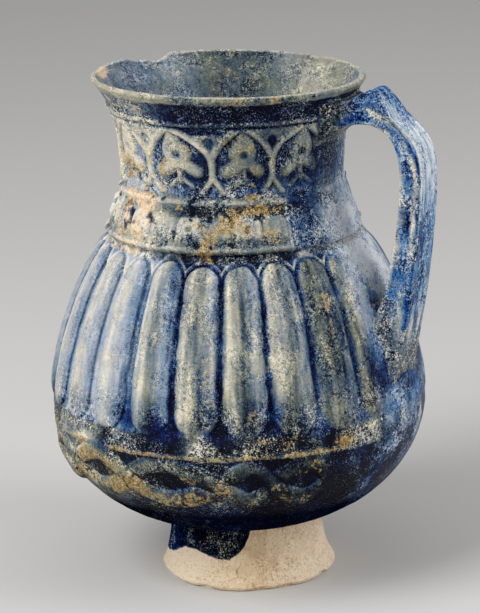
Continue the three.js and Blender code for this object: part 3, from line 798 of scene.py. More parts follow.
def neck_looks(turn, level, raised, side):
    left = side.left
    base = step(level, NECK_BASE + 6, NECK_BASE + 1)
    edge = turn + 12 * raised.mottle
    beside = np.where(turn < 0, step(-turn, 22, 12), step(edge, 40, 30))
    raised_up = np.clip(raised.arch, 0, 1) ** 0.6
    recess = 0.12 + 0.45 * left + 0.2 * base
    crest = 0.46 + 0.05 * step(turn, -45, -30) + 0.25 * step(turn, -64, -86) + 0.24 * left
    crest = crest + 0.16 * np.clip(raised.ribs, 0, 1) * (1 - left)
    sunk = step(level + 12 * raised.mottle, NECK_BASE + 9, NECK_BASE - 1)
    plain_tone = 0.12 + 0.22 * step(turn, -4, 8) + 0.38 * sunk * step(turn, -26, -6)
    plain_tone = plain_tone + 0.3 * step(turn, 12, 26) * step(edge, 38, 20)
    return {
        "tone": blend(blend(recess, crest, raised_up), plain_tone, beside),
        "warm": 0.25 + 0.7 * raised_up + 0.15 * left - 0.3 * beside * step(turn, -8, 4),
        "azure": 0.35 * (1 - raised_up),
        "soil": 0.14 + 0.2 * raised_up + 0.08 * left - 0.1 * beside,
        "grain": 1.05 - 0.6 * raised_up + 0.4 * base,
        "bare": 0.3 * left * base,
    }


# The rim: depth below its top where the worn lip starts, and the browned stretch of the lip
LIP_EDGE = (3.4, 2.7)
BROWNED = ((-52, RIM_TOP), (30, 20))


def rim_looks(turn, level, raised, side):
    left = side.left
    lip = step(RIM_TOP - level - 1.6 * raised.mottle, *LIP_EDGE)
    browned = spot(turn, level, *BROWNED)
    band = -0.03 + 0.57 * left + 0.2 * side.plain + 0.42 * raised.ridge
    return {
        "tone": blend(band, 0.61 + 0.1 * left - 0.2 * browned, lip),
        "warm": 0.3 + 0.65 * lip + 0.45 * left + 0.4 * raised.ridge,
        "azure": 0.3 * (1 - lip),
        "soil": 0.1 + 0.18 * left + 0.4 * browned * lip,
        "grain": 0.95 - 0.45 * lip + 0.5 * left * (1 - lip),
        "bare": 0.2 * left * lip,
    }


# The zones with the level where each starts, and the softness of their borders
ZONES = [
    (bowl_looks, -1),
    (belly_looks, BELLY - 5.3),
    (body_looks, 66.4),
    (band_looks, SHOULDER - 0.8),
    (collar_looks, COLLAR_BASE + 0.2),
    (neck_looks, COLLAR_TOP + 0.2),
    (rim_looks, NECK_TOP - 3),
]
ZONE_ENDS = [start for _, start in ZONES[1:]] + [RIM_TOP + 10]
ZONE_SOFTNESS = 0.5


def outside_looks(angle, level, raised):
    turn = signed(angle)
    side = sides(turn)
    looks = {key: np.zeros(angle.shape) for key in LOOKS}
    for (zone, start), end in zip(ZONES, ZONE_ENDS):
        share = within(level, start, end, ZONE_SOFTNESS)
        for key, values in zone(turn, level, raised, side).items():
            looks[key] += share * values
    looks["tone"] += 0.18 * raised.seam
    looks["tone"] += (0.25 * raised.mottle + 0.2 * raised.grit) * np.clip(looks["grain"], 0, 1)
    looks["soil"] += marks(turn, level, DEPOSITS)
    worked_in(looks, POOL_LOOKS, np.clip(1.7 * marks(turn, level, POOLS) + 0.5 * raised.grit, 0, 1))
    return looks


# The inside: angles of its side paled with painted light and of its dull side, and where the lip's
# glaze is broken
INSIDE_LIT_SIDE = (20, 50, 80, 108)
INSIDE_DULL = (96, 140, 12)
INSIDE_MEAN_RADIUS = 30
BROKEN = ((-163, RIM_TOP), (9, 3))


def inside_looks(angle, level):
    """Inside, the glaze is a weathered grey blue, with painted light making it paler to the right
    of the camera.
    """
    turn = signed(angle)
    mottle = wrought(wall_points(INSIDE_MEAN_RADIUS + 0 * angle, level, angle), 12, 51)
    # Painted light, paler to the right of the camera
    pale = bridge(turn, *INSIDE_LIT_SIDE)
    dull = within(turn, *INSIDE_DULL)
    broken = spot(turn, level, *BROKEN)
    flat = np.zeros(angle.shape)
    return {
        "tone": 0.51 + 0.11 * pale - 0.16 * dull + 0.35 * mottle + 0.4 * broken,
        "warm": 0.36 + 0.6 * pale + 0.5 * dull,
        "azure": flat,
        "soil": 0.14 + 0.12 * dull,
        "grain": 0.5 + flat,
        "bare": 1.2 * broken,
    }


# Meshes from grids of points
def in_scene(name, data):
    thing = bpy.data.objects.new(name, data)
    bpy.context.scene.collection.objects.link(thing)
    return thing


def make_piece(name, points, quads, tris, looks, charts):
    """A closed mesh in the part's frame, with its looks as named values on the points."""
    mesh = bpy.data.meshes.new(name)
    mesh.vertices.add(len(points))
    mesh.vertices.foreach_set("co", (points * MM).astype(np.float32).ravel())
    corners = np.concatenate([quads.ravel(), tris.ravel()]).astype(np.int32)
    starts = np.concatenate([
        np.arange(len(quads)) * 4,
        len(quads) * 4 + np.arange(len(tris)) * 3,
    ]).astype(np.int32)
    mesh.loops.add(len(corners))
    mesh.loops.foreach_set("vertex_index", corners)
    mesh.polygons.add(len(starts))
    mesh.polygons.foreach_set("loop_start", starts)
    mesh.update(calc_edges=True)
    for key, values in looks.items():
        held = mesh.attributes.new(key, "FLOAT", "POINT")
        held.data.foreach_set("value", np.asarray(values, np.float32).ravel())
    unwrapped = mesh.uv_layers.new(name="OFBake")
    unwrapped.data.foreach_set("uv", charts.astype(np.float32).ravel())
    mesh.shade_smooth()
    mesh.set_sharp_from_angle(angle=math.radians(SHARP_ANGLE))
    mesh.validate()
    return in_scene(name, mesh)


def grid_faces(rows, columns, around=True, over=False):
    """Corners of the quads between neighbouring rows and columns, which may close on themselves."""
    row = np.arange(rows if over else rows - 1)
    column = np.arange(columns if around else columns - 1)
    row, column = np.meshgrid(row, column, indexing="ij")
    above = (row + 1) % rows
    beside = (column + 1) % columns
    ends = [(row, column), (row, beside), (above, beside), (above, column)]
    faces = np.stack([end[0] * columns + end[1] for end in ends], -1)
    return faces.reshape(-1, 4), row.ravel(), column.ravel()


# Places in each piece's map, as shares of it: the gaps between panels, the fans above them that
# close a piece at its ends, and the flaps beside them that close a stretch of the collar
CHART_MARGIN = 0.004
PANELS_BELOW_FANS = 0.97
FANS_ACROSS = (0.3, 0.7)
FANS_UP = 0.985
FAN_RADIUS = 0.012
PANELS_BESIDE_FLAPS = 0.95
FLAPS_ACROSS = (0.96, 0.98)
FLAP_WIDTH = 0.015


def chart_corners(*corners):
    """Places in the map of each face's corners, from the places across and up of each corner."""
    return np.stack([np.stack(corner, -1) for corner in corners], 1).reshape(-1, 2)


def panel_charts(row, column, rows, columns, panels):
    """The grid cut into upright panels that lie over each other in the map."""
    wide = math.ceil(columns / panels)
    panel = column // wide
    deep = 1 / panels
    width, height = 1 - 2 * CHART_MARGIN, deep - 2 * CHART_MARGIN
    left = CHART_MARGIN + width * (column - panel * wide) / wide
    right = left + width / wide
    low = panel * deep + CHART_MARGIN + height * row / rows
    high = low + height / rows
    return chart_corners((left, low), (right, low), (right, high), (left, high))


ANGLES = np.arange(COLUMNS) * 360 / COLUMNS
NO_TRIS = np.zeros((0, 3), int)


def joined(*parts):
    return {key: np.concatenate([part[key] for part in parts]) for key in parts[0]}


def placed(points, axis=AXIS):
    return points + np.array([axis.x, axis.y, 0])


def round_wall(line, angles=ANGLES):
    """Angle and level of the points of a line that is turned round the axis."""
    return np.broadcast_arrays(angles[None], line[:, 1:])


def standing_out(line, out, height, angle):
    """Points of a line that is turned round the axis, this high over it."""
    return wall_points(line[:, :1] + height * out[:, :1], line[:, 1:] + height * out[:, 1:], angle)


def outside_rows(lengths, angles=ANGLES):
    """Points and looks of the outside at these lengths along its line."""
    line = outer.at(lengths)
    angle, level = round_wall(line, angles)
    height, raised = relief(angle, level)
    points = standing_out(line, outer.facing(lengths), height, angle)
    return leaned(points), outside_looks(angle, level, raised)


def inside_rows(lengths, angles=ANGLES):
    line = inner.at(lengths)
    angle, level = round_wall(line, angles)
    points = wall_points(line[:, :1] + 0 * angle, level, angle)
    return leaned(points), inside_looks(angle, level)


def ring_mesh(name, points, looks, panels, axis=AXIS):
    """A mesh from rows of points that close round the axis and over the wall."""
    rows = len(points)
    quads, row, column = grid_faces(rows, COLUMNS, over=True)
    charts = panel_charts(row, column, rows, COLUMNS, panels)
    return make_piece(name, placed(points, axis).reshape(-1, 3), quads, NO_TRIS, looks, charts)


def ring_piece(name, low, high, spacing):
    """A closed ring of wall between two joints."""
    out, out_looks = outside_rows(outer.between(low, high, spacing))
    back, back_looks = inside_rows(inner.between(high, low, count=INSIDE_ROWS))
    return ring_mesh(name, np.concatenate([out, back]), joined(out_looks, back_looks), panels=3)


def capped_mesh(name, points, looks, poles, panels):
    """A mesh from rows of points that close round, with a fan of triangles at each end."""
    rows, columns = points.shape[:2]
    quads, row, column = grid_faces(rows, columns)
    here = np.arange(columns)
    beside = (here + 1) % columns
    end = (rows - 1) * columns
    first = np.full(columns, rows * columns)
    tris = np.concatenate([
        np.stack([first, beside, here], -1),
        np.stack([end + here, end + beside, first + 1], -1),
    ])
    looks = {
        key: np.append(values.ravel(), [values[0, 0], values[-1, 0]])
        for key, values in looks.items()
    }
    turn = np.radians(here * 360 / columns)
    charts = [panel_charts(row, column, rows, columns, panels) * (1, PANELS_BELOW_FANS)]
    for across, way in zip(FANS_ACROSS, (-1, 1)):
        centre = np.repeat([[across], [FANS_UP]], columns, 1)
        ring = centre + FAN_RADIUS * np.stack([np.cos(turn), np.sin(turn)])
        corners = [ring, ring[:, beside], centre]
        charts.append(chart_corners(*corners[::way]))
    points = placed(np.concatenate([points.reshape(-1, 3), poles]))
    return make_piece(name, points, quads, tris, looks, np.concatenate(charts))


# The flat under the bowl starts as a ring of this share of the seat
SEAT_SHARE = 0.8


def bowl_piece(name):
    """The bowl, closed by its underside and its floor."""
    out, out_looks = outside_rows(outer.between(FOOT_JOINT, BELLY_JOINT, BOWL_STEP))
    inside = inner.length_at(BELLY_JOINT) * np.linspace(1, 0, 2 * INSIDE_ROWS)
    back, back_looks = inside_rows(inside)
    under = out[:1] * (SEAT_SHARE, SEAT_SHARE, 1)
    under_looks = {key: values[:1] for key, values in out_looks.items()}
    poles = np.array([[0, 0, FOOT_JOINT], [0, 0, back[-1, 0, 2]]])
    points = np.concatenate([under, out, back])
    looks = joined(under_looks, out_looks, back_looks)
    return capped_mesh(name, points, looks, poles, panels=3)


def collar_piece(name, start, end):
    """A stretch of the collar between its two upright joints."""
    count = round((end - start) * COLUMNS / 360) + 1
    angles = np.linspace(start, end, count)
    lengths = outer.between(SHOULDER_JOINT, COLLAR_JOINT, FINE_STEP)
    deep = len(lengths)
    out, out_looks = outside_rows(lengths, angles)
    back, back_looks = inside_rows(inner.between(COLLAR_JOINT, SHOULDER_JOINT, count=deep), angles)
    points = placed(np.concatenate([out, back]))
    rows = len(points)
    quads, row, column = grid_faces(rows, count, around=False, over=True)
    charts = [panel_charts(row, column, rows, count - 1, panels=3) * (PANELS_BESIDE_FLAPS, 1)]
    one = np.arange(deep - 1)
    near = np.stack([one, one + 1, rows - 2 - one, rows - 1 - one], -1) * count
    quads = np.concatenate([quads, near, near[:, ::-1] + count - 1])
    strip = np.linspace(0, 1, deep)
    low, high = strip[:-1], strip[1:]
    for across, way in zip(FLAPS_ACROSS, (1, -1)):
        left = np.full(deep - 1, across)
        right = left + FLAP_WIDTH
        corners = [(left, low), (left, high), (right, high), (right, low)]
        charts.append(chart_corners(*corners[::way]))
    looks = joined(out_looks, back_looks)
    return make_piece(name, points.reshape(-1, 3), quads, NO_TRIS, looks, np.concatenate(charts))


# The rim's chips, as angle, half-width and depth, and its pale worn crest
CHIPS = [(157, 14, 1.5), (151, 7, 1.0), (74, 4, 0.5), (-164, 5, 0.4)]
CREST_LOOKS = {"tone": 0.72}


def rim_piece(name):
    """The flared rim, with its round lip worn pale and chipped."""
    wall = outer.at(outer.between(RIM_JOINT, RIM_TOP - LIP / 2, spacing=0.2))
    line = Line(np.vstack([wall, LIP_ROUND[1:]]))
    lengths = np.linspace(0, line.length[-1], round(line.length[-1] / FINE_STEP) + 1)
    plan = line.at(lengths)
    out = line.facing(lengths, reach=0.3)
    out[0] = outer.facing(outer.length_at(RIM_JOINT))
    angle, level = round_wall(plan)
    height, raised = relief(angle, level)
    points = standing_out(plan, out, height, angle)
    chipped = sum(
        depth * step(np.abs(signed(ANGLES - place)), width, width * 0.3)
        for place, width, depth in CHIPS
    )
    back, back_looks = inside_rows(inner.between(RIM_TOP - LIP / 2, RIM_JOINT, spacing=0.8)[1:])
    points = np.concatenate([leaned(points), back])
    ragged = chipped * (1 + 0.5 * wrought(points, 4, 61))
    points[..., 2] -= ragged * step(points[..., 2], RIM_TOP - 6, RIM_TOP - 1.4)
    inward = np.arange(len(plan))[:, None] > np.argmax(plan[:, 1])
    lip_looks, inner_looks = outside_looks(angle, level, raised), inside_looks(angle, level)
    out_looks = {key: np.where(inward, inner_looks[key], lip_looks[key]) for key in LOOKS}
    worked_in(out_looks, CREST_LOOKS, hump(RIM_TOP - level, 1.0))
    return ring_mesh(name, points, joined(out_looks, back_looks), panels=4)


# The foot: bare fired clay, with glaze that ran down its left front and splashed its right,
# and a crack in front
DRIP_AT = [-174, -162, -150, -137, -126, -116, -104, -93, -83, -76, -70, -65, -61.5, -60, -59]
DRIP_LEVEL = [24, 12, 6.8, 7.6, 9.5, 11.8, 12.4, 11.3, 10.4, 10.9, 12.4, 15, 18.5, 22, 26]
DRIP_NONE = 24
SPLASH_AT = (22, 19.5)
SPLASH_SIZE = (5, 2.6)
CRACK_AT = (-69, 8)
CRACK_LEVELS = (5, 9.5, 0.8)

# The foot's duller front and a patch of painted light on its left, as place and size
FOOT_FRONT = ((-66, 10), (38, 40))
FOOT_LIT_PATCH = ((-118, 4), (34, 20))

# Chips of the foot's edge, as angle and half-width, and the edge's rounding, as inset and level
FOOT_CHIPS = [(-136, 22), (-92, 6), (-54, 5), (-38, 8), (-4, 6), (96, 9), (170, 12)]
FOOT_EDGE = [(2.2, 0), (0.7, 0.35)]


def foot_piece(name):
    """The bare foot, with its hollow below and the glaze that ran over it."""
    line = Line(np.vstack([
        [(FOOT_RADIUS - FOOT_WALL, 0)],
        [(FOOT_RADIUS - inset, level) for inset, level in FOOT_EDGE],
        bezier([(FOOT_RADIUS, FOOT_BEVEL), (FOOT_WAIST, FOOT_FLARE), (FOOT_WAIST, FOOT_JOINT)]),
        [(FOOT_WAIST - FOOT_WALL, FOOT_JOINT)],
    ]))
    lengths = np.linspace(0, line.length[-1], FOOT_ROWS)
    plan = line.at(lengths)
    angle, level = round_wall(plan)
    turn = signed(angle)
    plain = wall_points(plan[:, :1] + 0 * angle, level, angle)
    outward = (plan[:, :1] > FOOT_WAIST - 1) & (level > 0.2)
    drip_edge = np.interp(turn, DRIP_AT, DRIP_LEVEL, left=DRIP_NONE, right=DRIP_NONE)
    past_edge = level - drip_edge - 1.4 * wrought(plain, 3.5, 71)
    halo = hump(np.abs(past_edge), 1.6)
    from_splash = np.stack([turn, level], -1) - SPLASH_AT
    splash = np.hypot(*np.moveaxis(from_splash / SPLASH_SIZE, -1, 0))
    splash = step(splash + wrought(plain, 2.5, 75), 1.0, 0.7)
    glazed = np.where(outward, np.maximum(step(past_edge, -0.35, 0.35), splash), 0)
    mottle = wrought(plain, 9, 81)
    rough = wrought(plain, 2.4, 91)
    worn = sum(spot(turn, level, (at, 1), (wide, 2.6)) for at, wide in FOOT_CHIPS) * (0.8 + mottle)
    height = 0.35 * glazed + 0.35 * mottle + 0.14 * rough - 1.3 * worn
    height = height * (level > 0.05) * (plan[:, :1] > FOOT_RADIUS - FOOT_WALL - 0.5)
    height[-1] = 0
    points = standing_out(plan, line.facing(lengths, reach=0.5), height, angle)
    points[..., 2] = np.clip(points[..., 2], 0, FOOT_JOINT)
    front = spot(turn, level, *FOOT_FRONT)
    # Painted light pales the clay on the foot's left, where the key lamp falls
    pale = spot(turn, level, *FOOT_LIT_PATCH)
    from_crack = 0.5 * np.abs(turn - CRACK_AT[0] - 0.5 * (level - CRACK_AT[1]) - 5 * rough)
    crack = hump(from_crack, 0.6) * within(level, *CRACK_LEVELS)
    clay = 0.9 - 0.19 * front + 0.3 * pale + 0.3 * mottle + 0.3 * rough - 0.4 * crack
    blue = step(turn, -112, -138)
    looks = {
        "tone": blend(clay, 0.12 * blue + 0.2 * halo + 0.5 * step(turn, 5, 15), glazed),
        "warm": 0.3 + 0.6 * front - 0.4 * glazed * blue,
        "azure": (0.3 + 0.5 * blue) * glazed,
        "soil": 0.1 + 0 * clay,
        "grain": 0.5 + 0.7 * glazed,
        "bare": 1 - glazed,
    }
    return ring_mesh(name, points, looks, panels=3, axis=FOOT_AXIS)


# The strap handle
STRAP_WIDTH = 15.6
STRAP_THICKNESS = 8.4
TAIL_THICKNESS = 11.4
TAIL_SWELL = (0.4, 0.9)
STRAP_SQUARENESS = 0.3
STRAP_UNEVENNESS = 0.06
BACK_CHANNEL = 0.9
SIDE_CHANNEL = 0.8
CHANNEL_SHARPNESS = 1.3
HANDLE_REACH = 69.9
CROWN_RISE = 4
BEND_DROP = 26
BEND_EASE = 18
TAIL_RISE = 10
TAIL_EASE = 27
CROWN = NECK_TOP + CROWN_RISE
BEND = CROWN - BEND_DROP
TAIL_LEVEL = BODY_BASE + TAIL_RISE
TAIL_RADIUS = float(outer.radius_at(TAIL_LEVEL)) - 0.8 * STRAP_THICKNESS
STRAP_LINE = Line(np.vstack([
    bezier([
        (NECK_RADIUS - NECK_WALL / 2, CROWN - 1.25 * STRAP_THICKNESS),
        (NECK_RADIUS + STRAP_THICKNESS, CROWN - STRAP_THICKNESS / 4),
        (HANDLE_REACH, CROWN),
        (HANDLE_REACH, BEND),
    ]),
    bezier([
        (HANDLE_REACH, BEND),
        (HANDLE_REACH, BEND - BEND_EASE),
        (TAIL_RADIUS + 0.75 * STRAP_THICKNESS, TAIL_LEVEL + TAIL_EASE),
        (TAIL_RADIUS, TAIL_LEVEL),
    ])[1:],
]))
STRAP_LENGTH = STRAP_LINE.length[-1]

# Where the strap meets the wall, at its upper root and its lower one
ROOT_DEPTH = 10
ROOT_SPREAD = (7.5, 3.5)
ROOT_COVER = 1.4
ROOT_LOOKS = {"tone": (0.35, 0.42), "warm": (0.85, 0.6), "azure": (0, 0), "grain": (1.3, 1.2)}

# The thumb rest: its place along the strap, its reach each way and the dip behind it
REST_AT = 0.168
REST_INNER_REACH = 7.5
REST_OUTER_REACH = 7
REST_HEIGHT = 5.2
REST_DIP = 2.4
REST_DIP_AT = 9
REST_DIP_REACH = 8
REST_NARROWING = 0.5
REST_SLOPES = (1.15, 1.4)
REST_SEAT = (-0.35, 0.08)
REST_OVERHANG = (0.95, 1.01)
REST_BELOW = 0.9
REST_LOOKS = {"tone": 0.25, "warm": 0.05, "azure": 0.85}
REST_SHARE = 0.85


def strap_section():
    """The strap's outline as places across and out from -1 to 1, at even steps along it."""
    turn = np.linspace(0, 2 * np.pi, SECTION_SAMPLES)
    across, out = (
        np.sign(way) * np.abs(way) ** STRAP_SQUARENESS for way in (np.cos(turn), np.sin(turn))
    )
    length = run_of(np.stack([across * STRAP_WIDTH, out * STRAP_THICKNESS], 1))
    even = np.linspace(0, length[-1], STRAP_SIDES, endpoint=False)
    return np.interp(even, length, across), np.interp(even, length, out)


ACROSS, OUT = strap_section()
CORNER = np.minimum(np.abs(ACROSS), np.abs(OUT))
ON_SIDE = np.abs(ACROSS) > np.abs(OUT)


def strap_rows(lengths):
    """Middle line, ways out, and the strap's places across and out at these lengths."""
    middle = STRAP_LINE.at(lengths)
    outward = -STRAP_LINE.facing(lengths, reach=1.0)
    swell = step(lengths / STRAP_LENGTH, *TAIL_SWELL)[:, None]
    thick = blend(STRAP_THICKNESS, TAIL_THICKNESS, swell)
    hollow_side = SIDE_CHANNEL * np.clip(1 - OUT**2, 0, 1) ** CHANNEL_SHARPNESS
    hollow_back = BACK_CHANNEL * np.clip(1 - ACROSS**2, 0, 1) ** CHANNEL_SHARPNESS
    wide = ACROSS * STRAP_WIDTH / 2 - np.sign(ACROSS) * np.abs(ACROSS) ** 3 * hollow_side
    past_dip = lengths - REST_AT * STRAP_LENGTH - REST_DIP_AT
    dip = REST_DIP * np.exp(-((past_dip / REST_DIP_REACH) ** 2))[:, None]
    deep = OUT * thick / 2 - np.clip(OUT, 0, 1) ** 3 * hollow_back - np.clip(OUT, 0, 1) * dip
    return middle, outward, np.broadcast_to(wide, deep.shape), deep


def strap_points(middle, outward, wide, deep):
    radial = middle[:, :1] + deep * outward[:, :1]
    level = middle[:, 1:] + deep * outward[:, 1:]
    return np.stack([radial, wide, level], -1)


# Tone and warmth across the strap's side, from its inner edge to its outer one
SIDE_PLACES = [-1.0, -0.75, -0.4, 0.0, 0.3, 0.6, 0.85]
SIDE_TONES = [0.78, 0.58, 0.40, 0.44, 0.64, 0.56, 0.28]
SIDE_WARMTH = [0.80, 0.40, 0.00, 0.10, 0.70, 0.50, 0.00]

# Tone and warmth along the strap's back, from its crown to its foot
BACK_PLACES = [0.16, 0.24, 0.33, 0.42, 0.52, 0.68, 0.80]
BACK_TONES = [0.46, 0.58, 0.82, 0.78, 0.43, 0.40, 0.68]
BACK_WARMTH = [-0.3, -0.3, -0.3, -0.3, -0.2, 0.0, 0.5]


def strap_looks(points, lengths):
    """Streaked blue sides, a paler back and pale worn corners."""
    mottle = wrought(points, 10, 101)
    along = np.broadcast_to(lengths[:, None], mottle.shape)
    share = along / STRAP_LENGTH
    drawn = np.stack([points[..., 1] * 2.2, along * 0.4, OUT * 9 + 0 * along], -1)
    streaked = wrought(drawn, 3.6, 111)
    edge = step(CORNER, 0.8, 0.95) * np.where(ACROSS > 0, 0.3, 1)
    back = np.interp(share, BACK_PLACES, BACK_TONES)
    back_warm = np.interp(share, BACK_PLACES, BACK_WARMTH)
    wander = wrought(np.stack([along * 0.35, 0 * along, 0 * along], -1), 6, 121)
    bands = OUT + 0.9 * wander
    side_tone = np.interp(bands, SIDE_PLACES, SIDE_TONES)
    side_warm = np.interp(bands, SIDE_PLACES, SIDE_WARMTH)
    tone = np.where(ON_SIDE, side_tone, np.where(OUT > 0, back, 0.5))
    tone = tone + 0.3 * mottle + 1.2 * streaked - 0.03 * ON_SIDE * step(share, 0.68, 0.8)
    flat = np.zeros_like(tone)
    return {
        "tone": blend(tone, 0.78, edge * np.clip(0.8 + 1.5 * mottle, 0, 1)),
        "warm": np.where(ON_SIDE, side_warm + 2 * streaked, back_warm) + 0.9 * edge,
        "azure": np.where(ON_SIDE, np.clip(0.75 - 3 * mottle, 0, 1), 0.8),
        "soil": 0.12 + 0.14 * edge + flat,
        "grain": 0.7 + 0.3 * step(share, 0.35, 0.6),
        "bare": flat,
    }


def covered(points):
    """The points, drawn out where they would show inside the wall."""
    reach = np.hypot(points[..., 0], points[..., 1])
    least = inner.radius_at(points[..., 2]) + ROOT_COVER
    return points * np.stack([np.maximum(1, least / reach)] * 2 + [np.ones_like(reach)], -1)


def handle_piece(name):
    """The strap, spread at both roots where it meets the wall."""
    lengths = np.linspace(0, STRAP_LENGTH, STRAP_STATIONS)
    middle, outward, wide, deep = strap_rows(lengths)
    points = strap_points(middle, outward, wide, deep)
    centre = np.stack([middle[:, 0], 0 * middle[:, 0], middle[:, 1]], -1)[:, None]
    uneven = STRAP_UNEVENNESS * wrought(points, 10, 101)[..., None]
    points = points + (points - centre) * uneven
    looks = strap_looks(points, lengths)
    from_rest = (lengths - REST_AT * STRAP_LENGTH)[:, None]
    under_rest = within(from_rest, -REST_INNER_REACH, REST_OUTER_REACH - 2, 2)
    under_rest = under_rest * step(OUT, 0.3, 0.7) * step(np.abs(ACROSS), 0.6, 0.75)
    worked_in(looks, REST_LOOKS, under_rest * REST_SHARE)
    reach = np.hypot(points[..., 0], points[..., 1])
    pull = np.clip(1 - (reach - outer.radius_at(points[..., 2])) / ROOT_DEPTH, 0, 1)
    wall_out = outer.facing(outer.length_at(points[..., 2]))
    normal = np.stack([
        wall_out[..., 0] * points[..., 0] / reach,
        wall_out[..., 0] * points[..., 1] / reach,
        wall_out[..., 1],
    ], -1)
    away = points - centre
    away = away - normal * np.sum(away * normal, -1, keepdims=True)
    upper = lengths[:, None] < STRAP_LENGTH / 2
    spread = np.where(upper, *ROOT_SPREAD) * (1 - np.sqrt(1 - pull**2))
    points = points + away * (spread / (STRAP_WIDTH / 2))[..., None]
    root_looks = {key: np.where(upper, *values) for key, values in ROOT_LOOKS.items()}
    worked_in(looks, root_looks, step(pull, 0.1, 0.8))
    return capped_mesh(name, covered(points), looks, covered(centre[[0, -1], 0]), panels=1)


def rest_piece(name):
    """A pointed rest on the strap's crown, narrower at its top."""
    offset = np.linspace(-REST_INNER_REACH, REST_OUTER_REACH, REST_ROWS)
    share = np.where(offset < 0, -offset / REST_INNER_REACH, offset / REST_OUTER_REACH)
    lengths = REST_AT * STRAP_LENGTH + offset
    middle, outward, wide, deep = strap_rows(lengths)
    rise = (1 - share) ** np.where(offset < 0, *REST_SLOPES)
    rise = (rise - 0.1 * rise**8)[:, None]
    ends = step(1 - share, 0, 0.12)[:, None]
    top = step(OUT, 0, 0.8)
    wide = wide * (1 - REST_NARROWING * rise * top)
    wide = wide * np.where(deep > 0, blend(*REST_OVERHANG, ends), REST_BELOW)
    deep = np.maximum(deep, 0) + (REST_HEIGHT * rise + blend(*REST_SEAT, ends)) * top
    points = strap_points(middle, outward, wide, deep)
    looks = strap_looks(points, lengths)
    face = step(1 - OUT, 0.04, 0.12) * ON_SIDE
    worked_in(looks, REST_LOOKS, face * REST_SHARE)
    return capped_mesh(name, points, looks, points[[0, -1]].mean(1), panels=1)


# Colours as they are seen, turned into light
def colour(red, green, blue):
    seen = np.array([red, green, blue]) / 255
    light = np.where(seen <= 0.04045, seen / 12.92, ((seen + 0.055) / 1.055) ** 2.4)
    return (*light, 1.0)


class Nodes:
    """A short way to write a node material."""

    def __init__(self, name):
        self.material = bpy.data.materials.new(name)
        self.material.use_nodes = True
        self.tree = self.material.node_tree
        self.tree.nodes.clear()

    def add(self, kind, inputs=None, **settings):
        """A node with these settings, its inputs set to a value or linked to a socket."""
        node = self.tree.nodes.new(kind)
        for key, value in settings.items():
            setattr(node, key, value)
        for key, value in (inputs or {}).items():
            if isinstance(value, bpy.types.NodeSocket):
                self.tree.links.new(value, node.inputs[key])
            else:
                node.inputs[key].default_value = value
        return node

    def held(self, name):
        return self.add("ShaderNodeAttribute", attribute_name=name).outputs["Fac"]

    def math(self, operation, first, second, clamp=False):
        inputs = {0: first, 1: second}
        return self.add("ShaderNodeMath", inputs, operation=operation, use_clamp=clamp).outputs[0]

    def plus(self, first, *others, clamp=False):
        for other in others[:-1]:
            first = self.math("ADD", first, other)
        return self.math("ADD", first, others[-1], clamp)

    def times(self, first, second):
        return self.math("MULTIPLY", first, second)

    def swing(self, noise, strength):
        """Noise turned to swing about 0 by this strength."""
        return self.times(self.math("SUBTRACT", noise, 0.5), strength)

    def noise(self, place, scale, detail=3.0, roughness=0.55):
        inputs = {"Vector": place, "Scale": scale, "Detail": detail, "Roughness": roughness}
        return self.add("ShaderNodeTexNoise", inputs).outputs["Fac"]

    def range(self, value, low, high, start=0.0, end=1.0):
        inputs = {"Value": value, "From Min": low, "From Max": high, "To Min": start, "To Max": end}
        node = self.add("ShaderNodeMapRange", inputs, interpolation_type="SMOOTHSTEP")
        return node.outputs["Result"]

    def mix(self, share, first, second):
        inputs = {0: share, 6: first, 7: second}
        return self.add("ShaderNodeMix", inputs, data_type="RGBA").outputs[2]

    def ramp(self, value, places, shades):
        node = self.add("ShaderNodeValToRGB", {0: value})
        band = node.color_ramp.elements
        while len(band) < len(places):
            band.new(0.5)
        for element, place, shade in zip(band, places, shades):
            element.position = place
            element.color = colour(*shade)
        return node.outputs["Color"]

    def finish(self, shade, roughness, gloss, **others):
        """The shader at the end of the material."""
        inputs = {"Base Color": shade, "Roughness": roughness, "Specular IOR Level": gloss} | others
        shader = self.add("ShaderNodeBsdfPrincipled", inputs)
        self.add("ShaderNodeOutputMaterial", {"Surface": shader.outputs["BSDF"]})
        return self.material


# Glaze and clay from dark to pale, and the tones at which they have these colours
GLAZE_TONES = [0.00, 0.14, 0.30, 0.48, 0.66, 0.88, 1.00]
COOL = [
    (5, 6, 22), (15, 21, 60), (48, 71, 102), (108, 127, 146),
    (158, 168, 185), (208, 211, 217), (230, 232, 236),
]
WARM = [
    (5, 6, 13), (19, 25, 38), (60, 72, 75), (116, 122, 111),
    (166, 163, 145), (220, 212, 192), (236, 229, 211),
]
AZURE_TONES = [0.00, 0.18, 0.36, 0.54, 0.72, 0.90, 1.00]
AZURE = [
    (4, 6, 34), (12, 34, 104), (34, 98, 164), (104, 150, 192),
    (172, 192, 212), (214, 220, 226), (228, 233, 238),
]
CLAY_TONES = [0.00, 0.40, 0.70, 1.00]
CLAY_TAN = [(104, 78, 54), (182, 152, 118), (227, 197, 157), (250, 230, 196)]
CLAY_PINK = [(110, 82, 66), (194, 162, 140), (227, 200, 178), (244, 225, 202)]
CLAY_PORE = (104, 74, 52)
DARK_EARTH = (88, 66, 34)
PALE_EARTH = (218, 186, 122)
PIT = (12, 15, 36)
FLECK = (210, 204, 186)
FLOOR_SHADES = [(206, 205, 203), (210, 209, 207)]

# Sheen of the glaze, and the levels under the bowl between which it is lost
GLOSS = 0.06
DULL_BELOW = 34
GLOSSY_ABOVE = 50
FLOOR_GLOSS = 0.3

# Roughness of the glaze from dark to pale, of bare clay and of the floor
GLAZE_ROUGHNESS = (0.22, 0.55)
CLAY_ROUGHNESS = 0.8
FLOOR_ROUGHNESS = 0.8

# Depth of the grain, and the scale up the wall of the runs in the glaze
BUMP_STRENGTH = 0.7
BUMP_DEPTH = 1.2
RUN_SCALE = 0.07


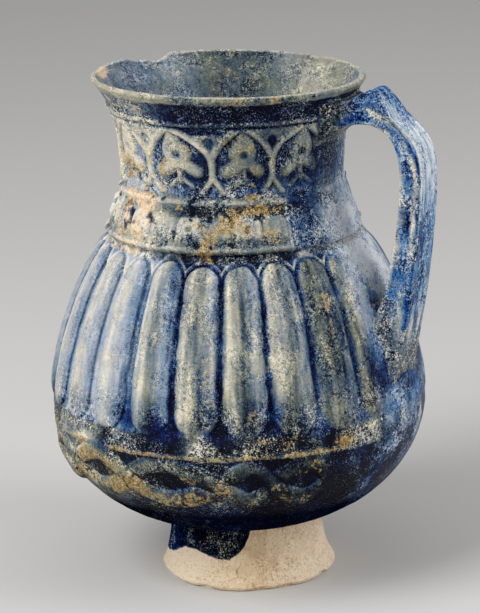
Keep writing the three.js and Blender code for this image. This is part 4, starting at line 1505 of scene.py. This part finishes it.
def glaze_material():
    """Cobalt glaze: deep where it pooled, worn pale on what stands up, grainy and soiled."""
    n = Nodes("cobalt_glaze")
    place = n.add("ShaderNodeTexCoord").outputs["Object"]
    runs = {"Vector": place, "Scale": (1, 1, RUN_SCALE)}
    runs = n.add("ShaderNodeMapping", runs, vector_type="POINT").outputs["Vector"]
    broad = n.noise(place, 45, 4)
    middle = n.noise(place, 180, 5, 0.62)
    fine = n.noise(place, 700, 3, 0.62)
    grain = n.noise(place, 2200, 2, 0.7)
    clumps = n.range(n.noise(place, 850, 4, 0.7), 0.46, 0.54)
    pepper = n.noise(place, 1500, 2, 0.6)
    streak = n.noise(runs, 420, 5, 0.65)
    patches = n.range(n.noise(place, 110, 8, 0.7), 0.5, 0.55)
    rugged = n.range(n.noise(place, 120, 6, 0.65), 0.44, 0.56, 0.4, 1.5)
    grainy = n.times(n.held("grain"), rugged)
    grains = ((middle, 0.5), (patches, 0.14), (fine, 0.7), (clumps, 0.24), (grain, 1.9))
    tone = n.plus(
        n.held("tone"),
        n.swing(broad, 0.18),
        n.swing(streak, 0.36),
        *(n.times(n.swing(noise, strength), grainy) for noise, strength in grains),
    )
    warm = n.plus(n.held("warm"), n.swing(broad, 0.6), n.swing(patches, 0.3))
    warm = n.plus(warm, n.swing(fine, 0.7), clamp=True)
    azure = n.plus(n.held("azure"), n.swing(middle, 0.8), clamp=True)
    blue = n.mix(azure, n.ramp(tone, GLAZE_TONES, COOL), n.ramp(tone, AZURE_TONES, AZURE))
    shade = n.mix(warm, blue, n.ramp(tone, GLAZE_TONES, WARM))

    soil = n.plus(n.held("soil"), n.swing(middle, 1.3), n.swing(fine, 1.0))
    earth = n.range(n.plus(n.times(grain, 0.6), n.times(fine, 0.4)), 0.38, 0.62)
    earth = n.mix(earth, colour(*DARK_EARTH), colour(*PALE_EARTH))
    shade = n.mix(n.times(n.range(soil, 0.4, 0.66), 0.7), shade, earth)

    pits = n.plus(0.28, n.times(grainy, 0.45), clamp=True)
    pits = n.times(pits, n.range(pepper, 0.63, 0.70))
    shade = n.mix(pits, shade, colour(*PIT))
    edge = n.math("SUBTRACT", 0.72, n.times(grainy, 0.06))
    flecks = n.range(grain, edge, n.plus(edge, 0.05))
    shade = n.mix(n.times(flecks, 0.75), shade, colour(*FLECK))

    bare = n.plus(n.held("bare"), n.swing(middle, 0.8), n.swing(fine, 0.5))
    bare = n.range(bare, 0.42, 0.6)
    pink, tan = (n.ramp(tone, CLAY_TONES, shades) for shades in (CLAY_PINK, CLAY_TAN))
    pores = n.times(n.range(pepper, 0.60, 0.68), 0.5)
    clay = n.mix(pores, n.mix(n.held("warm"), pink, tan), colour(*CLAY_PORE))
    shade = n.mix(bare, shade, clay)

    rough = n.plus(n.range(tone, 0.1, 0.8, *GLAZE_ROUGHNESS), n.swing(fine, 0.3))
    rough = n.math("MAXIMUM", rough, n.times(bare, CLAY_ROUGHNESS))
    height = n.plus(fine, n.times(grain, 0.5))
    bump = {"Strength": BUMP_STRENGTH, "Distance": BUMP_DEPTH * MM, "Height": height}
    level = n.add("ShaderNodeSeparateXYZ", {"Vector": place}).outputs["Z"]
    gloss = n.range(level, DULL_BELOW * MM, GLOSSY_ABOVE * MM, 0, GLOSS)
    return n.finish(shade, rough, gloss, Normal=n.add("ShaderNodeBump", bump).outputs["Normal"])


def floor_material():
    n = Nodes("pale_floor")
    place = n.add("ShaderNodeTexCoord").outputs["Object"]
    shade = n.mix(n.noise(place, 3, 2), *(colour(*shade) for shade in FLOOR_SHADES))
    return n.finish(shade, FLOOR_ROUGHNESS, FLOOR_GLOSS)


# Each piece, the name of a finish, which the loop does not use, and the solids that it stands for
GLAZED = "cobalt_glaze"
foot = foot_piece("foot_turned")
bowl = bowl_piece("bowl_glazed")
body = ring_piece("body_glazed", BELLY_JOINT, SHOULDER_JOINT, BODY_STEP)
collar = collar_piece("collar_glazed", COLLAR_SEAM, 360 - COLLAR_SEAM)
infill = collar_piece("collar_infill_glazed", -COLLAR_SEAM, COLLAR_SEAM)
neck = ring_piece("neck_glazed", COLLAR_JOINT, RIM_JOINT, FINE_STEP)
rim = rim_piece("rim_glazed")
handle = handle_piece("handle_glazed")
rest = rest_piece("thumb_rest_glazed")
PIECES = [
    (foot, "bisque", ["foot_ring"]),
    (bowl, GLAZED, ["lower_bowl", "foot_slip"]),
    (body, GLAZED, ["fluted_body", "belly_slip"]),
    (collar, GLAZED, ["collar_band", "shoulder_slip", "collar_slip_front", "collar_slip_back"]),
    (infill, GLAZED, ["collar_infill"]),
    (neck, GLAZED, ["neck", "neck_slip"]),
    (rim, GLAZED, ["rim", "rim_slip"]),
    (handle, GLAZED, ["handle", "handle_upper_slip", "handle_lower_slip"]),
    (rest, GLAZED, ["thumb_rest"]),
]
glaze = glaze_material()
for piece, finish, nodes in PIECES:
    piece.data.materials.append(glaze)
    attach(piece, "root")
    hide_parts(*nodes)

# Floor, with its reach in metres
FLOOR_REACH = 4
floor_mesh = bpy.data.meshes.new("floor")
floor_corners = [
    (x * FLOOR_REACH, y * FLOOR_REACH, 0) for x, y in ((-1, -1), (1, -1), (1, 1), (-1, 1))
]
floor_mesh.from_pydata(floor_corners, [], [(0, 1, 2, 3)])
floor_mesh.materials.append(floor_material())
floor = in_scene("floor", floor_mesh)

# Camera, found from the photograph's outline: place, tilt and focal length in pixels of its frame
CAMERA_REACH = 853.6
CAMERA_LEVEL = 317.8
CAMERA_YAW = 0.095
CAMERA_PITCH = 14.68
CAMERA_ROLL = -1.39
FOCAL_PIXELS = 2522.2
FRAME_HEIGHT = 613
SENSOR_WIDTH = 36


def rotation(angle, axis):
    return Matrix.Rotation(math.radians(angle), 4, axis)


camera_data = bpy.data.cameras.new("camera")
camera_data.sensor_width = SENSOR_WIDTH
camera_data.lens = FOCAL_PIXELS / FRAME_HEIGHT * SENSOR_WIDTH
camera = in_scene("camera", camera_data)
place = Matrix.Translation((AXIS.x * MM, AXIS.y * MM, 0)) @ rotation(CAMERA_ANGLE + 90, "Z")
place = place @ Matrix.Translation((0, -CAMERA_REACH * MM, CAMERA_LEVEL * MM))
look = rotation(-CAMERA_YAW, "Z") @ rotation(90 - CAMERA_PITCH, "X")
look = look @ rotation(CAMERA_ROLL, "Z")
camera.matrix_world = place @ look
bpy.context.scene.camera = camera

# Soft studio light: a large key from the left, a weaker fill from the right and an even room.
# Angles are from the camera, reach and size in metres, power in watts.
LAMP_AIM = 90
ROOM_LIGHT = 0.4


def soft_lamp(name, angle, rise, reach, size, power):
    data = bpy.data.lights.new(name, "AREA")
    data.size = size
    data.energy = power
    lamp = in_scene(name, data)
    turn, lift = math.radians(CAMERA_ANGLE + angle), math.radians(rise)
    way = Vector((math.cos(turn) * math.cos(lift), math.sin(turn) * math.cos(lift), math.sin(lift)))
    lamp.location = Vector((0, 0, LAMP_AIM * MM)) + way * reach
    lamp.rotation_mode = "QUATERNION"
    lamp.rotation_quaternion = (-way).to_track_quat("-Z", "Y")


soft_lamp("key", angle=-50, rise=42, reach=1.3, size=0.7, power=14)
soft_lamp("fill", angle=70, rise=30, reach=1.5, size=0.8, power=10)
world = bpy.data.worlds.new("room")
world.use_nodes = True
background = world.node_tree.nodes["Background"]
background.inputs["Color"].default_value = (1, 1, 1, 1)
background.inputs["Strength"].default_value = ROOM_LIGHT
bpy.context.scene.world = world
bpy.context.scene.view_settings.view_transform = "Standard"

bpy.context.view_layer.update()
